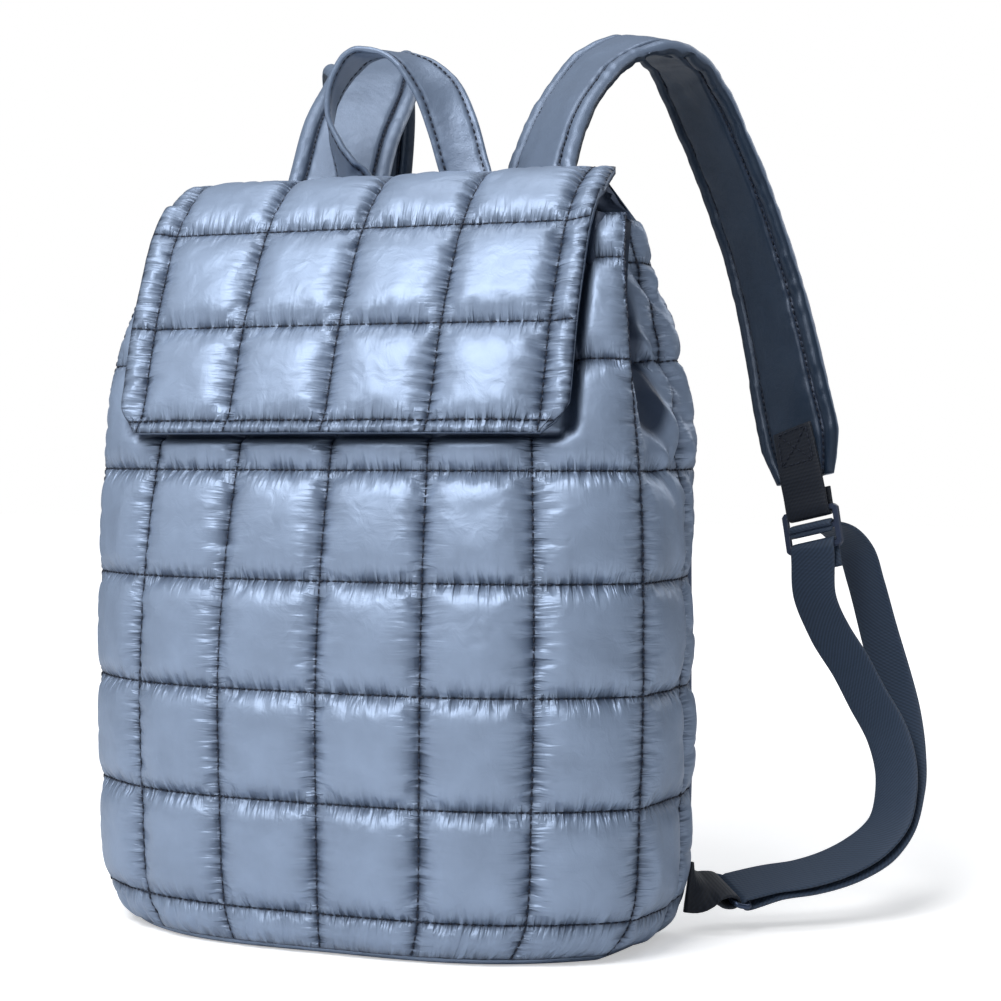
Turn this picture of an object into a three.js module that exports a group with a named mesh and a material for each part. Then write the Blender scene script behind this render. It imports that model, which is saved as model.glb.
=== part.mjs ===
// Quilted puffer backpack: millimetres, +Z up, the front faces -Y, origin under the base.
import * as THREE from 'three';

// Sizes that can be set by themselves.
const quilt_up = 52;            // quilt pitch up the wall
const first_row = 20;           // height of the lowest quilt seam
const body_half_width = 145;    // at the front corner seam
const body_front = 68;          // bulge of the front wall ahead of the origin
const body_back = 57;           // back seam behind the origin
const hem_top = 349;            // top of the hem
const hem_height = 21;          // hem above its stitch line
const wall = 2.6;               // wall at a seam
const pillow = 7;               // puff of a full quilt square over its seams
const flap_press = 0.55;        // share of the puff left under the flap
const press_below = 8;          // flattened body below the flap's hanging edge
const press_cells = 2.6;        // flattened quilt squares on each side of the middle
const clearance = 0.3;          // gap between sewn neighbours
const base_thickness = 3;
const base_edge = 3;            // rounding of the base panel's edge
const back_thickness = 6;
const back_edge = 0.65;         // thickness left at the back panel's side edges
const back_top = 369;           // top edge of the back panel
const back_top_half_width = 107;
const back_top_y = 35;
const flap_half_width = 118;
const flap_quilt = 52.5;        // quilt pitch across the flap
const flap_seam = 3;            // flap thickness at a seam
const flap_pillow = 6;
const flap_corner = 12;         // rounding of the flap's lower corners
const webbing_width = 25;
const webbing_thickness = 1.8;
const handle_width = 26;
const handle_thickness = 3;
const handle_spread = 32.5;     // handle leg from the middle
const handle_rise = 72;         // loop above the back panel's top edge
const strap_width = 52;
const strap_thickness = 9;
const strap_edge = 4;           // thickness of the strap at its edge
const strap_channel = 0.40;     // half thickness at the stitched channels, share of the whole
const strap_roll = 0.42;        // half thickness at the rolls beside the edges
const strap_spread = 57;        // strap root from the middle
const strap_root = 30;          // sewn length of the strap below the back panel's top edge
const strap_out = 103;          // strap end, outward of its root
const strap_behind = 165;       // strap's furthest point behind its root
const strap_rise = 86;          // strap's highest point above the back panel's top edge
const left_splay = 0.6;         // share of the outward swing that the left strap has
const tab_length = 28;          // webbing sewn on the strap's end
const slider_width = 33;
const slider_height = 23;
const slider_thickness = 2.6;
const slider_bar = 3;
const slider_drop = 28;         // slider's middle below the strap's end
const slider_wrap = 125;        // how far the webbing turns round the middle bar, in degrees
const tail_length = 12;         // webbing folded back behind a bar
const loop_out = 58;            // belly of the webbing loop, outward of the slider
const ring_wire = 3;
const ring_height = 12;
const anchor_height = 23;       // middle of the anchor tab above the floor
const anchor_reach = 22;        // ring's inner bar from the back seam
const anchor_turn = 51;         // plan angle in which the anchor tab leaves the seam
const anchor_dip = -9;          // and its slope
const anchor_twist = 0.7;       // share of the tab in which it turns flat
const twist_steps = 5;           // sections for each step of its twist

// Counts.
const front_cells = 3;          // quilt squares from the middle to the corner seam
const side_cells = 1.5;         // quilt squares from the corner seam to the back seam
const flap_cells = 2;           // quilt squares from the middle to the flap's edge strip
const cell_steps = 4;           // faces across one quilt square
const full_rows = 5;            // full quilt rows above the lowest seam
const arc_steps = 48;           // steps that measure the length of the front

// Colours.
const shell_colour = 0x8fa2c4;
const lining_colour = 0x76879f;
const webbing_colour = 0x3c4a66;
const plastic_colour = 0x2b3348;

// Front of the wall by height. z is a share of hem_top, cornerX of body_half_width, cornerY and
// front of body_front.
const front_table = [
  { z: 0.000, cornerX: 0.860, cornerY: 0.31, front: 0.92 },
  { z: 0.057, cornerX: 0.960, cornerY: 0.31, front: 0.96 },
  { z: 0.206, cornerX: 0.990, cornerY: 0.31, front: 0.99 },
  { z: 0.355, cornerX: 1.000, cornerY: 0.30, front: 1.00 },
  { z: 0.504, cornerX: 1.000, cornerY: 0.30, front: 0.93 },
  { z: 0.653, cornerX: 0.990, cornerY: 0.30, front: 0.78 },
  { z: 0.802, cornerX: 0.962, cornerY: 0.27, front: 0.55 },
  { z: 0.940, cornerX: 0.892, cornerY: 0.14, front: 0.23 },
  { z: 1.000, cornerX: 0.865, cornerY: 0.04, front: 0.06 },
];

// Sides of the wall by height. z is a share of hem_top; seamX, fold and shift of
// body_half_width, seamY of body_back, bulge of pillow.
const side_table = [
  { z: 0.000, seamX: 0.890, seamY: 0.86, bulge: 0.30, fold: 0.000, shift: 0.000 },
  { z: 0.057, seamX: 0.962, seamY: 0.96, bulge: 0.35, fold: 0.000, shift: 0.000 },
  { z: 0.206, seamX: 0.985, seamY: 1.00, bulge: 0.35, fold: 0.000, shift: 0.000 },
  { z: 0.355, seamX: 0.985, seamY: 1.00, bulge: 0.35, fold: 0.000, shift: 0.000 },
  { z: 0.504, seamX: 0.985, seamY: 1.00, bulge: 0.35, fold: 0.000, shift: 0.000 },
  { z: 0.653, seamX: 0.980, seamY: 1.00, bulge: 0.30, fold: 0.008, shift: 0.000 },
  { z: 0.802, seamX: 0.930, seamY: 0.98, bulge: 0.15, fold: 0.085, shift: 0.000 },
  { z: 0.940, seamX: 0.828, seamY: 0.88, bulge: 0.05, fold: 0.165, shift: 0.030 },
  { z: 1.000, seamX: 0.780, seamY: 0.77, bulge: 0.00, fold: 0.180, shift: 0.045 },
];
const front_power = 3.4;        // how late the front wall turns into its corner
const fold_place = 0.36;        // middle of the side fold, share of the side
const fold_spread = 0.22;

// Flap from its hanging edge to its sewn edge. y and drop are shares of body_front, z of hem_top,
// half of flap_half_width; drop is how far the flap's sides fall back from its middle.
const flap_table = [
  { row: 0.0, y: -0.895, z: 0.702, drop: 0.20, half: 1.00 },
  { row: 0.5, y: -0.760, z: 0.777, drop: 0.17, half: 1.00 },
  { row: 1.0, y: -0.620, z: 0.852, drop: 0.13, half: 1.00 },
  { row: 1.5, y: -0.430, z: 0.925, drop: 0.08, half: 1.00 },
  { row: 2.0, y: -0.230, z: 0.990, drop: 0.04, half: 1.00 },
  { row: 2.5, y: 0.050, z: 1.045, drop: 0.03, half: 1.00 },
  { row: 3.0, y: 0.350, z: 1.072, drop: 0.00, half: 0.985 },
  { row: 3.4, y: 0.550, z: 1.067, drop: 0.00, half: 0.93 },
];

// Carrying loop. x is a share of handle_spread, z of handle_rise above the back panel's top edge;
// turn is the plan angle of the strip's width.
const handle_table = [
  { x: 1.00, z: -0.24, turn: 0 },
  { x: 0.98, z: 0.03, turn: 0 },
  { x: 0.88, z: 0.16, turn: 10 },
  { x: 0.68, z: 0.46, turn: 22 },
  { x: 0.43, z: 0.71, turn: 38 },
  { x: 0.05, z: 0.90, turn: 54 },
  { x: -0.36, z: 0.99, turn: 68 },
  { x: -0.87, z: 1.00, turn: 80 },
  { x: -1.20, z: 0.87, turn: 92 },
  { x: -1.40, z: 0.69, turn: 104 },
  { x: -1.43, z: 0.51, turn: 114 },
  { x: -1.29, z: 0.31, turn: 126 },
  { x: -1.12, z: 0.15, turn: 145 },
  { x: -1.00, z: 0.03, turn: 180 },
  { x: -1.00, z: -0.24, turn: 180 },
];

// Shoulder strap from its root to its end. out is a share of strap_out, behind of strap_behind,
// up of strap_rise; turn and tilt give the direction of its width; width and thick are shares of
// strap_width and strap_thickness.
const strap_table = [
  { out: 0.000, behind: 0.000, up: -0.350, turn: -1, tilt: 0, width: 1.00, thick: 0.7 },
  { out: 0.000, behind: 0.036, up: -0.080, turn: -12, tilt: 0, width: 1.00, thick: 0.9 },
  { out: 0.000, behind: 0.097, up: 0.093, turn: -30, tilt: 0, width: 1.00, thick: 1.0 },
  { out: 0.024, behind: 0.230, up: 0.448, turn: -35, tilt: 0, width: 1.00, thick: 1.0 },
  { out: 0.061, behind: 0.424, up: 0.761, turn: -36, tilt: -4, width: 1.00, thick: 1.0 },
  { out: 0.117, behind: 0.539, up: 0.914, turn: -34, tilt: -9, width: 1.00, thick: 1.0 },
  { out: 0.246, behind: 0.655, up: 1.021, turn: -30, tilt: -12, width: 1.00, thick: 1.0 },
  { out: 0.346, behind: 0.782, up: 0.956, turn: -28, tilt: -11, width: 1.00, thick: 1.0 },
  { out: 0.400, behind: 0.885, up: 0.774, turn: -27, tilt: -9, width: 1.00, thick: 1.0 },
  { out: 0.510, behind: 0.952, up: 0.415, turn: -29, tilt: -7, width: 1.00, thick: 1.0 },
  { out: 0.627, behind: 0.988, up: 0.016, turn: -30, tilt: -6, width: 1.00, thick: 1.0 },
  { out: 0.730, behind: 1.000, up: -0.382, turn: -31, tilt: -5, width: 1.00, thick: 1.0 },
  { out: 0.829, behind: 0.976, up: -0.804, turn: -29, tilt: -4, width: 1.00, thick: 1.0 },
  { out: 0.915, behind: 0.939, up: -1.216, turn: -25, tilt: -2, width: 1.00, thick: 1.0 },
  { out: 0.975, behind: 0.909, up: -1.475, turn: -20, tilt: -1, width: 0.96, thick: 0.9 },
  { out: 1.015, behind: 0.885, up: -1.715, turn: -12, tilt: 0, width: 0.66, thick: 0.6 },
];
const splay_row = 8;            // the left strap swings out less after this row
const sewn_rows = 2;            // first rows, which lie on the back panel

// Webbing loop, down its inner run and up its outer run. out is a share of loop_out from the
// slider, behind and down are shares of the way from the slider to the ring.
const inner_run = [
  { out: 0.032, behind: 0.030, down: 0.104, turn: -9 },
  { out: 0.050, behind: 0.009, down: 0.202, turn: -10 },
  { out: 0.187, behind: -0.022, down: 0.311, turn: -12 },
  { out: 0.397, behind: -0.013, down: 0.409, turn: -18 },
  { out: 0.589, behind: 0.022, down: 0.505, turn: -22 },
  { out: 0.806, behind: 0.091, down: 0.600, turn: -26 },
  { out: 0.951, behind: 0.195, down: 0.688, turn: -30 },
  { out: 1.021, behind: 0.325, down: 0.773, turn: -34 },
  { out: 1.016, behind: 0.437, down: 0.838, turn: -38 },
  { out: 0.900, behind: 0.567, down: 0.893, turn: -42 },
  { out: 0.703, behind: 0.714, down: 0.933, turn: -44 },
  { out: 0.472, behind: 0.835, down: 0.956, turn: -45 },
  { out: 0.232, behind: 0.913, down: 0.968, turn: -45 },
];
const outer_run = [
  { out: 0.259, behind: 0.905, down: 0.988, turn: -45 },
  { out: 0.517, behind: 0.814, down: 0.976, turn: -45 },
  { out: 0.757, behind: 0.688, down: 0.953, turn: -44 },
  { out: 0.952, behind: 0.541, down: 0.912, turn: -42 },
  { out: 1.050, behind: 0.403, down: 0.855, turn: -38 },
  { out: 1.056, behind: 0.255, down: 0.779, turn: -34 },
  { out: 0.994, behind: 0.091, down: 0.694, turn: -30 },
  { out: 0.875, behind: -0.065, down: 0.584, turn: -27 },
  { out: 0.717, behind: -0.186, down: 0.463, turn: -25 },
  { out: 0.541, behind: -0.255, down: 0.319, turn: -24 },
  { out: 0.391, behind: -0.264, down: 0.165, turn: -24 },
  { out: 0.288, behind: -0.238, down: 0.063, turn: -22 },
  { out: 0.145, behind: -0.160, down: 0.003, turn: -14 },
];
const loop_tilt = -20;          // lean of the webbing's width where it lies along the floor

// Values that follow from the sizes.
const shell_bottom = base_thickness + clearance;
const hem_seam = hem_top - hem_height;
const top_row = first_row + full_rows * quilt_up;

const lerp = (a, b, t) => a + (b - a) * t;
const clamp = (v, a, b) => Math.min(b, Math.max(a, v));
const smoothstep = (t) => t * t * (3 - 2 * t);
const radians = (degrees) => (degrees * Math.PI) / 180;
const vec = (x, y, z) => new THREE.Vector3(x, y, z);

// Smooth value of one column of a table at a place along its key column.
function column(table, place, name, at) {
  const last = table.length - 1;
  let i = 0;
  while (i < last - 1 && at > table[i + 1][place]) i += 1;
  const slope = (k) => {
    const a = table[Math.max(0, k - 1)];
    const b = table[Math.min(last, k + 1)];
    return (b[name] - a[name]) / (b[place] - a[place]);
  };
  const from = table[i];
  const to = table[i + 1];
  const span = to[place] - from[place];
  const t = clamp((at - from[place]) / span, 0, 1);
  const t2 = t * t;
  const t3 = t2 * t;
  return from[name] * (2 * t3 - 3 * t2 + 1) + to[name] * (3 * t2 - 2 * t3)
    + slope(i) * span * (t3 - 2 * t2 + t) + slope(i + 1) * span * (t3 - t2);
}

// Mesh from points and faces, turned outward.
function solid(points, faces) {
  let volume = 0;
  for (const [a, b, c] of faces) {
    volume += points[a].dot(points[b].clone().cross(points[c]));
  }
  const index = [];
  for (const [a, b, c] of faces) {
    if (volume > 0) index.push(a, b, c);
    else index.push(a, c, b);
  }
  const geometry = new THREE.BufferGeometry();
  geometry.setFromPoints(points);
  geometry.setIndex(index);
  return geometry;
}

// The border of a grid as one closed round of point numbers, with its place from 0 to 4.
function border(rows, columns, first) {
  const at = (i, j) => first + i * columns + j;
  const round = [];
  for (let i = 0; i < rows - 1; i += 1) round.push([i / (rows - 1), at(i, 0)]);
  for (let j = 0; j < columns - 1; j += 1) round.push([1 + j / (columns - 1), at(rows - 1, j)]);
  for (let i = rows - 1; i > 0; i -= 1) round.push([3 - i / (rows - 1), at(i, columns - 1)]);
  for (let j = columns - 1; j > 0; j -= 1) round.push([4 - j / (columns - 1), at(0, j)]);
  round.push([4, at(0, 0)]);
  return round;
}

// Closed sheet between an outer and an inner grid, which may differ in their steps.
function closedSheet(outer, inner) {
  const points = [...outer.flat(), ...inner.flat()];
  const faces = [];
  const first = outer.length * outer[0].length;
  const cover = (grid, start, turned) => {
    const columns = grid[0].length;
    for (let i = 0; i < grid.length - 1; i += 1) {
      for (let j = 0; j < columns - 1; j += 1) {
        const a = start + i * columns + j;
        const [b, c, d] = [a + columns, a + columns + 1, a + 1];
        if (turned) faces.push([a, c, b], [a, d, c]);
        else faces.push([a, b, c], [a, c, d]);
      }
    }
  };
  cover(outer, 0, false);
  cover(inner, first, true);
  const round = border(outer.length, outer[0].length, 0);
  const lining = border(inner.length, inner[0].length, first);
  let a = 0;
  let b = 0;
  while (a < round.length - 1 || b < lining.length - 1) {
    const nextOuter = a < round.length - 1 ? round[a + 1][0] : Infinity;
    const nextInner = b < lining.length - 1 ? lining[b + 1][0] : Infinity;
    if (nextOuter <= nextInner) {
      faces.push([round[a + 1][1], round[a][1], lining[b][1]]);
      a += 1;
    } else {
      faces.push([round[a][1], lining[b][1], lining[b + 1][1]]);
      b += 1;
    }
  }
  return solid(points, faces);
}

// Wall section at a height, with the named sizes worked in.
function wallSection(height) {
  const at = height / hem_top;
  const front = (name) => column(front_table, 'z', name, at);
  const side = (name) => column(side_table, 'z', name, at);
  const section = {
    cornerX: front('cornerX') * body_half_width,
    cornerY: front('cornerY') * body_front,
    front: front('front') * body_front,
    seamX: side('seamX') * body_half_width,
    seamY: side('seamY') * body_back,
    bulge: side('bulge') * pillow,
    fold: side('fold') * body_half_width,
    shift: side('shift') * body_half_width,
    height,
  };
  const steps = arc_steps;
  section.arc = [0];
  for (let i = 1; i <= steps; i += 1) {
    const a = frontPoint(section, (i - 1) / steps);
    const b = frontPoint(section, i / steps);
    section.arc.push(section.arc[i - 1] + Math.hypot(b[0] - a[0], b[1] - a[1]));
  }
  return section;
}

function frontPoint(section, u) {
  const bow = (section.front - section.cornerY) * (1 - u ** front_power);
  return [section.cornerX * u, -section.cornerY - bow];
}

// Point of the wall at its seam level; q counts quilt squares from the front's middle.
function wallPoint(section, q) {
  const side = q < 0 ? -1 : 1;
  const cells = Math.abs(q);
  let x;
  let y;
  if (cells <= front_cells) {
    const length = (cells / front_cells) * section.arc[section.arc.length - 1];
    let i = 0;
    while (i < section.arc.length - 2 && section.arc[i + 1] < length) i += 1;
    const part = (length - section.arc[i]) / (section.arc[i + 1] - section.arc[i]);
    [x, y] = frontPoint(section, (i + part) / (section.arc.length - 1));
  } else {
    const w = (cells - front_cells) / side_cells;
    const valley = Math.exp(-(((w - fold_place) / fold_spread) ** 2));
    x = lerp(section.cornerX, section.seamX, w) + section.bulge * 4 * w * (1 - w)
      - section.fold * valley;
    y = lerp(-section.cornerY, section.seamY, w);
  }
  return vec(side * x + section.shift, y, section.height);
}

function wallNormal(section, q) {
  const step = 0.02;
  const end = front_cells + side_cells;
  const a = wallPoint(section, Math.max(-end, q - step));
  const b = wallPoint(section, Math.min(end, q + step));
  return vec(b.y - a.y, a.x - b.x, 0).normalize();
}

// Share of full puff at a place between two seams.
const puffShape = (t) => Math.max(0, Math.sin(Math.PI * clamp(t, 0, 1))) ** 0.6;

function wallPuff(q, height) {
  const cells = Math.abs(q);
  const whole = Math.floor(Math.min(cells, front_cells + side_cells - 1e-6));
  const last = whole + 1 > front_cells + side_cells;
  const width = last ? front_cells + side_cells - whole : 1;
  const across = puffShape((cells - whole) / width) * (last ? 0.6 : 1);
  let up;
  if (height < first_row) {
    up = 0.5 * puffShape((height - shell_bottom) / (first_row - shell_bottom));
  } else if (height < top_row) {
    up = puffShape(((height - first_row) % quilt_up) / quilt_up);
  } else if (height < hem_seam) {
    up = 0.85 * puffShape((height - top_row) / (hem_seam - top_row));
  } else {
    up = 0.3 * puffShape((height - hem_seam) / hem_height);
  }
  const covered = height > flap_table[0].z * hem_top - press_below && cells < press_cells;
  return pillow * across * up * (covered ? flap_press : 1);
}

function wallHeights() {
  const heights = [];
  const add = (from, to, steps) => {
    for (let i = 0; i < steps; i += 1) heights.push(lerp(from, to, i / steps));
  };
  add(shell_bottom, first_row, 2);
  for (let row = 0; row < full_rows; row += 1) {
    add(first_row + row * quilt_up, first_row + (row + 1) * quilt_up, cell_steps);
  }
  add(top_row, hem_seam, cell_steps);
  add(hem_seam, hem_top, 2);
  heights.push(hem_top);
  return heights;
}

function quiltedShell() {
  const end = front_cells + side_cells;
  const outer = [];
  const inner = [];
  wallHeights().forEach((height, level) => {
    const section = wallSection(height);
    const outside = [];
    const inside = [];
    for (let k = 0; k <= 2 * end * cell_steps; k += 1) {
      const q = -end + k / cell_steps;
      const point = wallPoint(section, q);
      const normal = wallNormal(section, q);
      outside.push(point.clone().addScaledVector(normal, wallPuff(q, height)));
      inside.push(point.clone().addScaledVector(normal, -wall));
    }
    outer.push(outside);
    if (level % 2 === 0) inner.push(inside);
  });
  return closedSheet(outer, inner);
}

// Front face of the back panel: half width and y at a height.
function backFace(height) {
  const section = wallSection(Math.min(height, hem_top));
  const over = clamp((height - hem_top) / (back_top - hem_top), 0, 1);
  return {
    half: lerp(section.seamX, back_top_half_width, over),
    shift: lerp(section.shift, 0, over),
    y: lerp(section.seamY, back_top_y, over) + clearance,
  };
}

function backPanel() {
  const across = 6;
  const levels = [...wallHeights(), lerp(hem_top, back_top, 0.5), back_top];
  const front = [];
  const rear = [];
  for (const height of levels) {
    const face = backFace(height);
    const inside = [];
    const outside = [];
    for (let i = 0; i <= across; i += 1) {
      const share = (2 * i) / across - 1;
      const x = face.shift + face.half * share;
      const edge = 1 - Math.abs(share) ** 6 * (1 - back_edge);
      inside.push(vec(x, face.y, height));
      outside.push(vec(x, face.y + back_thickness * edge, height));
    }
    front.push(inside);
    rear.push(outside);
  }
  return closedSheet(rear, front);
}

function basePanel() {
  const end = front_cells + side_cells;
  const section = wallSection(shell_bottom);
  const rear = backFace(shell_bottom).y + back_thickness;
  const outline = [];
  for (let k = 0; k <= end * cell_steps; k += 1) {
    const q = -end + (2 * k) / cell_steps;
    const point = wallPoint(section, q);
    outline.push([point.x, point.y]);
  }
  outline.push([section.seamX, rear], [-section.seamX, rear]);
  const ring = (inset, z) => outline.map(([x, y]) => {
    const r = Math.hypot(x, y);
    return vec((x * (r - inset)) / r, (y * (r - inset)) / r, z);
  });
  const rings = [ring(base_edge, 0), ring(0, base_thickness * 0.6), ring(0, base_thickness)];
  const n = outline.length;
  const points = [...rings.flat(), vec(0, 0, 0), vec(0, 0, base_thickness)];
  const faces = [];
  for (let i = 0; i < n; i += 1) {
    const j = (i + 1) % n;
    for (let level = 0; level < 2; level += 1) {
      const low = level * n;
      faces.push([low + i, low + j, low + n + j], [low + i, low + n + j, low + n + i]);
    }
    faces.push([3 * n, j, i], [3 * n + 1, 2 * n + i, 2 * n + j]);
  }
  return solid(points, faces);
}

// Flap surface at its seam level; row counts quilt rows from the hanging edge.
function flapPoint(row, x) {
  const get = (name) => column(flap_table, 'row', name, row);
  const back = get('drop') * body_front * Math.abs(x / flap_half_width) ** 2.4;
  return vec(x, get('y') * body_front + back, get('z') * hem_top);
}

function flap() {
  const end = flap_table[flap_table.length - 1].row;
  const rows = [];
  for (let k = 0; k <= 3 * cell_steps; k += 1) rows.push(k / cell_steps);
  rows.push(lerp(3, end, 0.5), end);
  const seam = flap_cells * flap_quilt;
  const outer = [];
  const inner = [];
  rows.forEach((row, level) => {
    const rounding = 1 - Math.sin((Math.PI / 2) * Math.min(1, row / 0.3));
    const full = flap_half_width * column(flap_table, 'row', 'half', row);
    const half = full - flap_corner * rounding;
    const places = [-half, -(half + seam) / 2];
    for (let k = 0; k <= 2 * flap_cells * cell_steps; k += 1) {
      places.push(-seam + (k * flap_quilt) / cell_steps);
    }
    places.push((half + seam) / 2, half);
    const outside = [];
    const inside = [];
    places.forEach((x, i) => {
      const point = flapPoint(row, x);
      const above = flapPoint(Math.min(end, row + 0.02), x);
      const along = above.sub(flapPoint(Math.max(0, row - 0.02), x));
      const across = flapPoint(row, x + 1).sub(flapPoint(row, x - 1));
      const normal = across.cross(along).normalize();
      const rowPart = row >= 3 ? 0.3 * puffShape((row - 3) / (end - 3)) : puffShape(row % 1);
      const over = Math.abs(x) - seam;
      const cellPart = over > 0 ? 0.35 * puffShape(over / (half - seam + 1e-6))
        : puffShape((Math.abs(x) % flap_quilt) / flap_quilt);
      outside.push(point.clone().addScaledVector(normal, flap_pillow * rowPart * cellPart));
      if (i % 2 === 0) inside.push(point.clone().addScaledVector(normal, -flap_seam));
    });
    outer.push(outside);
    if (level % 2 === 0) inner.push(inside);
  });
  return closedSheet(outer, inner);
}

// Direction of a strip's width from its plan angle and its lean, in degrees.
function widthAxis(turn, tilt) {
  const a = radians(turn);
  const b = radians(tilt);
  return vec(Math.cos(a) * Math.cos(b), Math.sin(a) * Math.cos(b), Math.sin(b));
}

// Frames along a smooth route through stations { p, w, width, thick }.
function frames(stations, steps) {
  const curve = new THREE.CatmullRomCurve3(stations.map((s) => s.p), false, 'centripetal');
  const list = [];
  for (let k = 0; k < stations.length - 1; k += 1) {
    for (let i = 0; i < steps; i += 1) list.push(k + i / steps);
  }
  list.push(stations.length - 1);
  return list.map((at) => {
    const k = Math.min(stations.length - 2, Math.floor(at));
    const t = at - k;
    const p = curve.getPoint(at / (stations.length - 1));
    const tangent = curve.getTangent(at / (stations.length - 1)).normalize();
    const mix = (name) => lerp(stations[k][name] ?? 1, stations[k + 1][name] ?? 1, t);
    const w = stations[k].w.clone().lerp(stations[k + 1].w, t);
    w.addScaledVector(tangent, -w.dot(tangent)).normalize();
    const n = w.clone().cross(tangent).normalize();
    return { p, t: tangent, w, n, width: mix('width'), thick: mix('thick') };
  });
}

// Sweep of a section, a list of [share of width, share of thickness], along frames.
function sweep(list, section, width, thickness) {
  const n = section.length;
  const points = [];
  const faces = [];
  for (const f of list) {
    for (const [a, b] of section) {
      points.push(f.p.clone().addScaledVector(f.w, a * width * f.width)
        .addScaledVector(f.n, b * thickness * f.thick));
    }
  }
  for (let k = 0; k < list.length - 1; k += 1) {
    for (let i = 0; i < n; i += 1) {
      const a = k * n + i;
      const b = k * n + ((i + 1) % n);
      faces.push([a, b, b + n], [a, b + n, a + n]);
    }
  }
  const last = (list.length - 1) * n;
  for (let i = 1; i < n - 1; i += 1) {
    faces.push([0, i + 1, i], [last, last + i, last + i + 1]);
  }
  return solid(points, faces);
}
// The section has a point in the middle of each face, so that a twisted strip stays smooth.
const flat_section = [
  [0, -0.5], [0.5, -0.5], [0.5, 0.5], [0, 0.5], [-0.5, 0.5], [-0.5, -0.5],
];

function topHandle() {
  const stand_off = back_thickness + clearance + handle_thickness / 2;
  const stations = handle_table.map((row) => {
    const height = back_top + row.z * handle_rise;
    const face = backFace(Math.min(height, back_top));
    return {
      p: vec(row.x * handle_spread, face.y + stand_off, height),
      w: widthAxis(row.turn, 0),
    };
  });
  return sweep(frames(stations, 2), flat_section, handle_width, handle_thickness);
}

// The straps are worked out on the right side; the left ones are mirrored, with their own splay.
function strapFrames(splay) {
  const rooted = (strap_thickness * strap_table[0].thick) / 2;
  const root = backFace(back_top - strap_root).y + back_thickness + clearance + rooted;
  const splayStart = strap_table[splay_row].out;
  const stations = strap_table.map((row, i) => {
    const swing = i > splay_row ? splayStart + (row.out - splayStart) * splay : row.out;
    const sewn = i < sewn_rows;
    const up = sewn ? (row.up * strap_root) / -strap_table[0].up : row.up * strap_rise;
    return {
      p: vec(strap_spread + swing * strap_out, root + row.behind * strap_behind, back_top + up),
      w: widthAxis(row.turn, row.tilt),
      width: row.width,
      thick: row.thick,
    };
  });
  return frames(stations, 2);
}

function strap(splay) {
  const edge = strap_edge / strap_thickness / 2;
  const half = [[0, 0.5], [0.2, strap_channel], [0.4, strap_roll], [0.5, edge]];
  const face = [...half.slice(1).reverse().map(([a, b]) => [-a, b]), ...half];
  const section = [...face.map(([a, b]) => [a, -b]), ...face.reverse()];
  return sweep(strapFrames(splay), section, strap_width, strap_thickness);
}

// Half turn of webbing round a bar: distance of its middle line from the bar's middle.
const wrap = Math.hypot(slider_bar, slider_thickness) / 2 + clearance + webbing_thickness / 2;
const ring_wrap = ring_wire / 2 + 2 * clearance + webbing_thickness / 2;

// Where the slider hangs: its middle and its axes along the bars, up and towards the bag.
function sliderPlace(splay) {
  const list = strapFrames(splay);
  const end = list[list.length - 1];
  const up = end.t.clone().negate();
  const facing = end.n.clone();
  if (facing.y > 0) facing.negate();
  const middle = end.p.clone().addScaledVector(end.t, slider_drop);
  return { middle, up, across: end.w.clone(), facing };
}

// Stations round a bar of the slider from one angle to another; 0 degrees faces the bag, 90 is up.
function roundBar(place, high, from, to, count) {
  const stations = [];
  for (let i = 0; i < count; i += 1) {
    const angle = radians(lerp(from, to, i / (count - 1)));
    stations.push(bySlider(place, high + wrap * Math.sin(angle), wrap * Math.cos(angle)));
  }
  return stations;
}

// A station in the slider's own axes: height above its middle and distance towards the bag.
function bySlider(place, high, ahead) {
  const p = place.middle.clone().addScaledVector(place.up, high).addScaledVector(place.facing, ahead);
  return { p, w: place.across };
}

function slider(splay) {
  const place = sliderPlace(splay);
  const w = slider_width / 2;
  const h = slider_height / 2;
  const c = slider_bar / 2;
  const corners = [[-w + c, -h], [w - c, -h], [w, -h + c], [w, h - c], [w - c, h], [-w + c, h],
    [-w, h - c], [-w, -h + c]];
  const shape = new THREE.Shape(corners.map(([x, y]) => new THREE.Vector2(x, y)));
  const slot = (from, to) => {
    const x = webbing_width / 2 + 3 * clearance;
    const round = [[-x, from], [-x, to], [x, to], [x, from]];
    return new THREE.Path(round.map(([a, b]) => new THREE.Vector2(a, b)));
  };
  shape.holes.push(slot(slider_bar / 2, h - slider_bar), slot(-h + slider_bar, -slider_bar / 2));
  const geometry = new THREE.ExtrudeGeometry(shape, { depth: slider_thickness, bevelEnabled: false });
  geometry.translate(0, 0, -slider_thickness / 2);
  const normal = place.across.clone().cross(place.up).normalize();
  geometry.applyMatrix4(new THREE.Matrix4().makeBasis(place.across, place.up, normal));
  geometry.translate(place.middle.x, place.middle.y, place.middle.z);
  return geometry;
}

const outer_bar = slider_height / 2 - slider_bar / 2;

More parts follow.
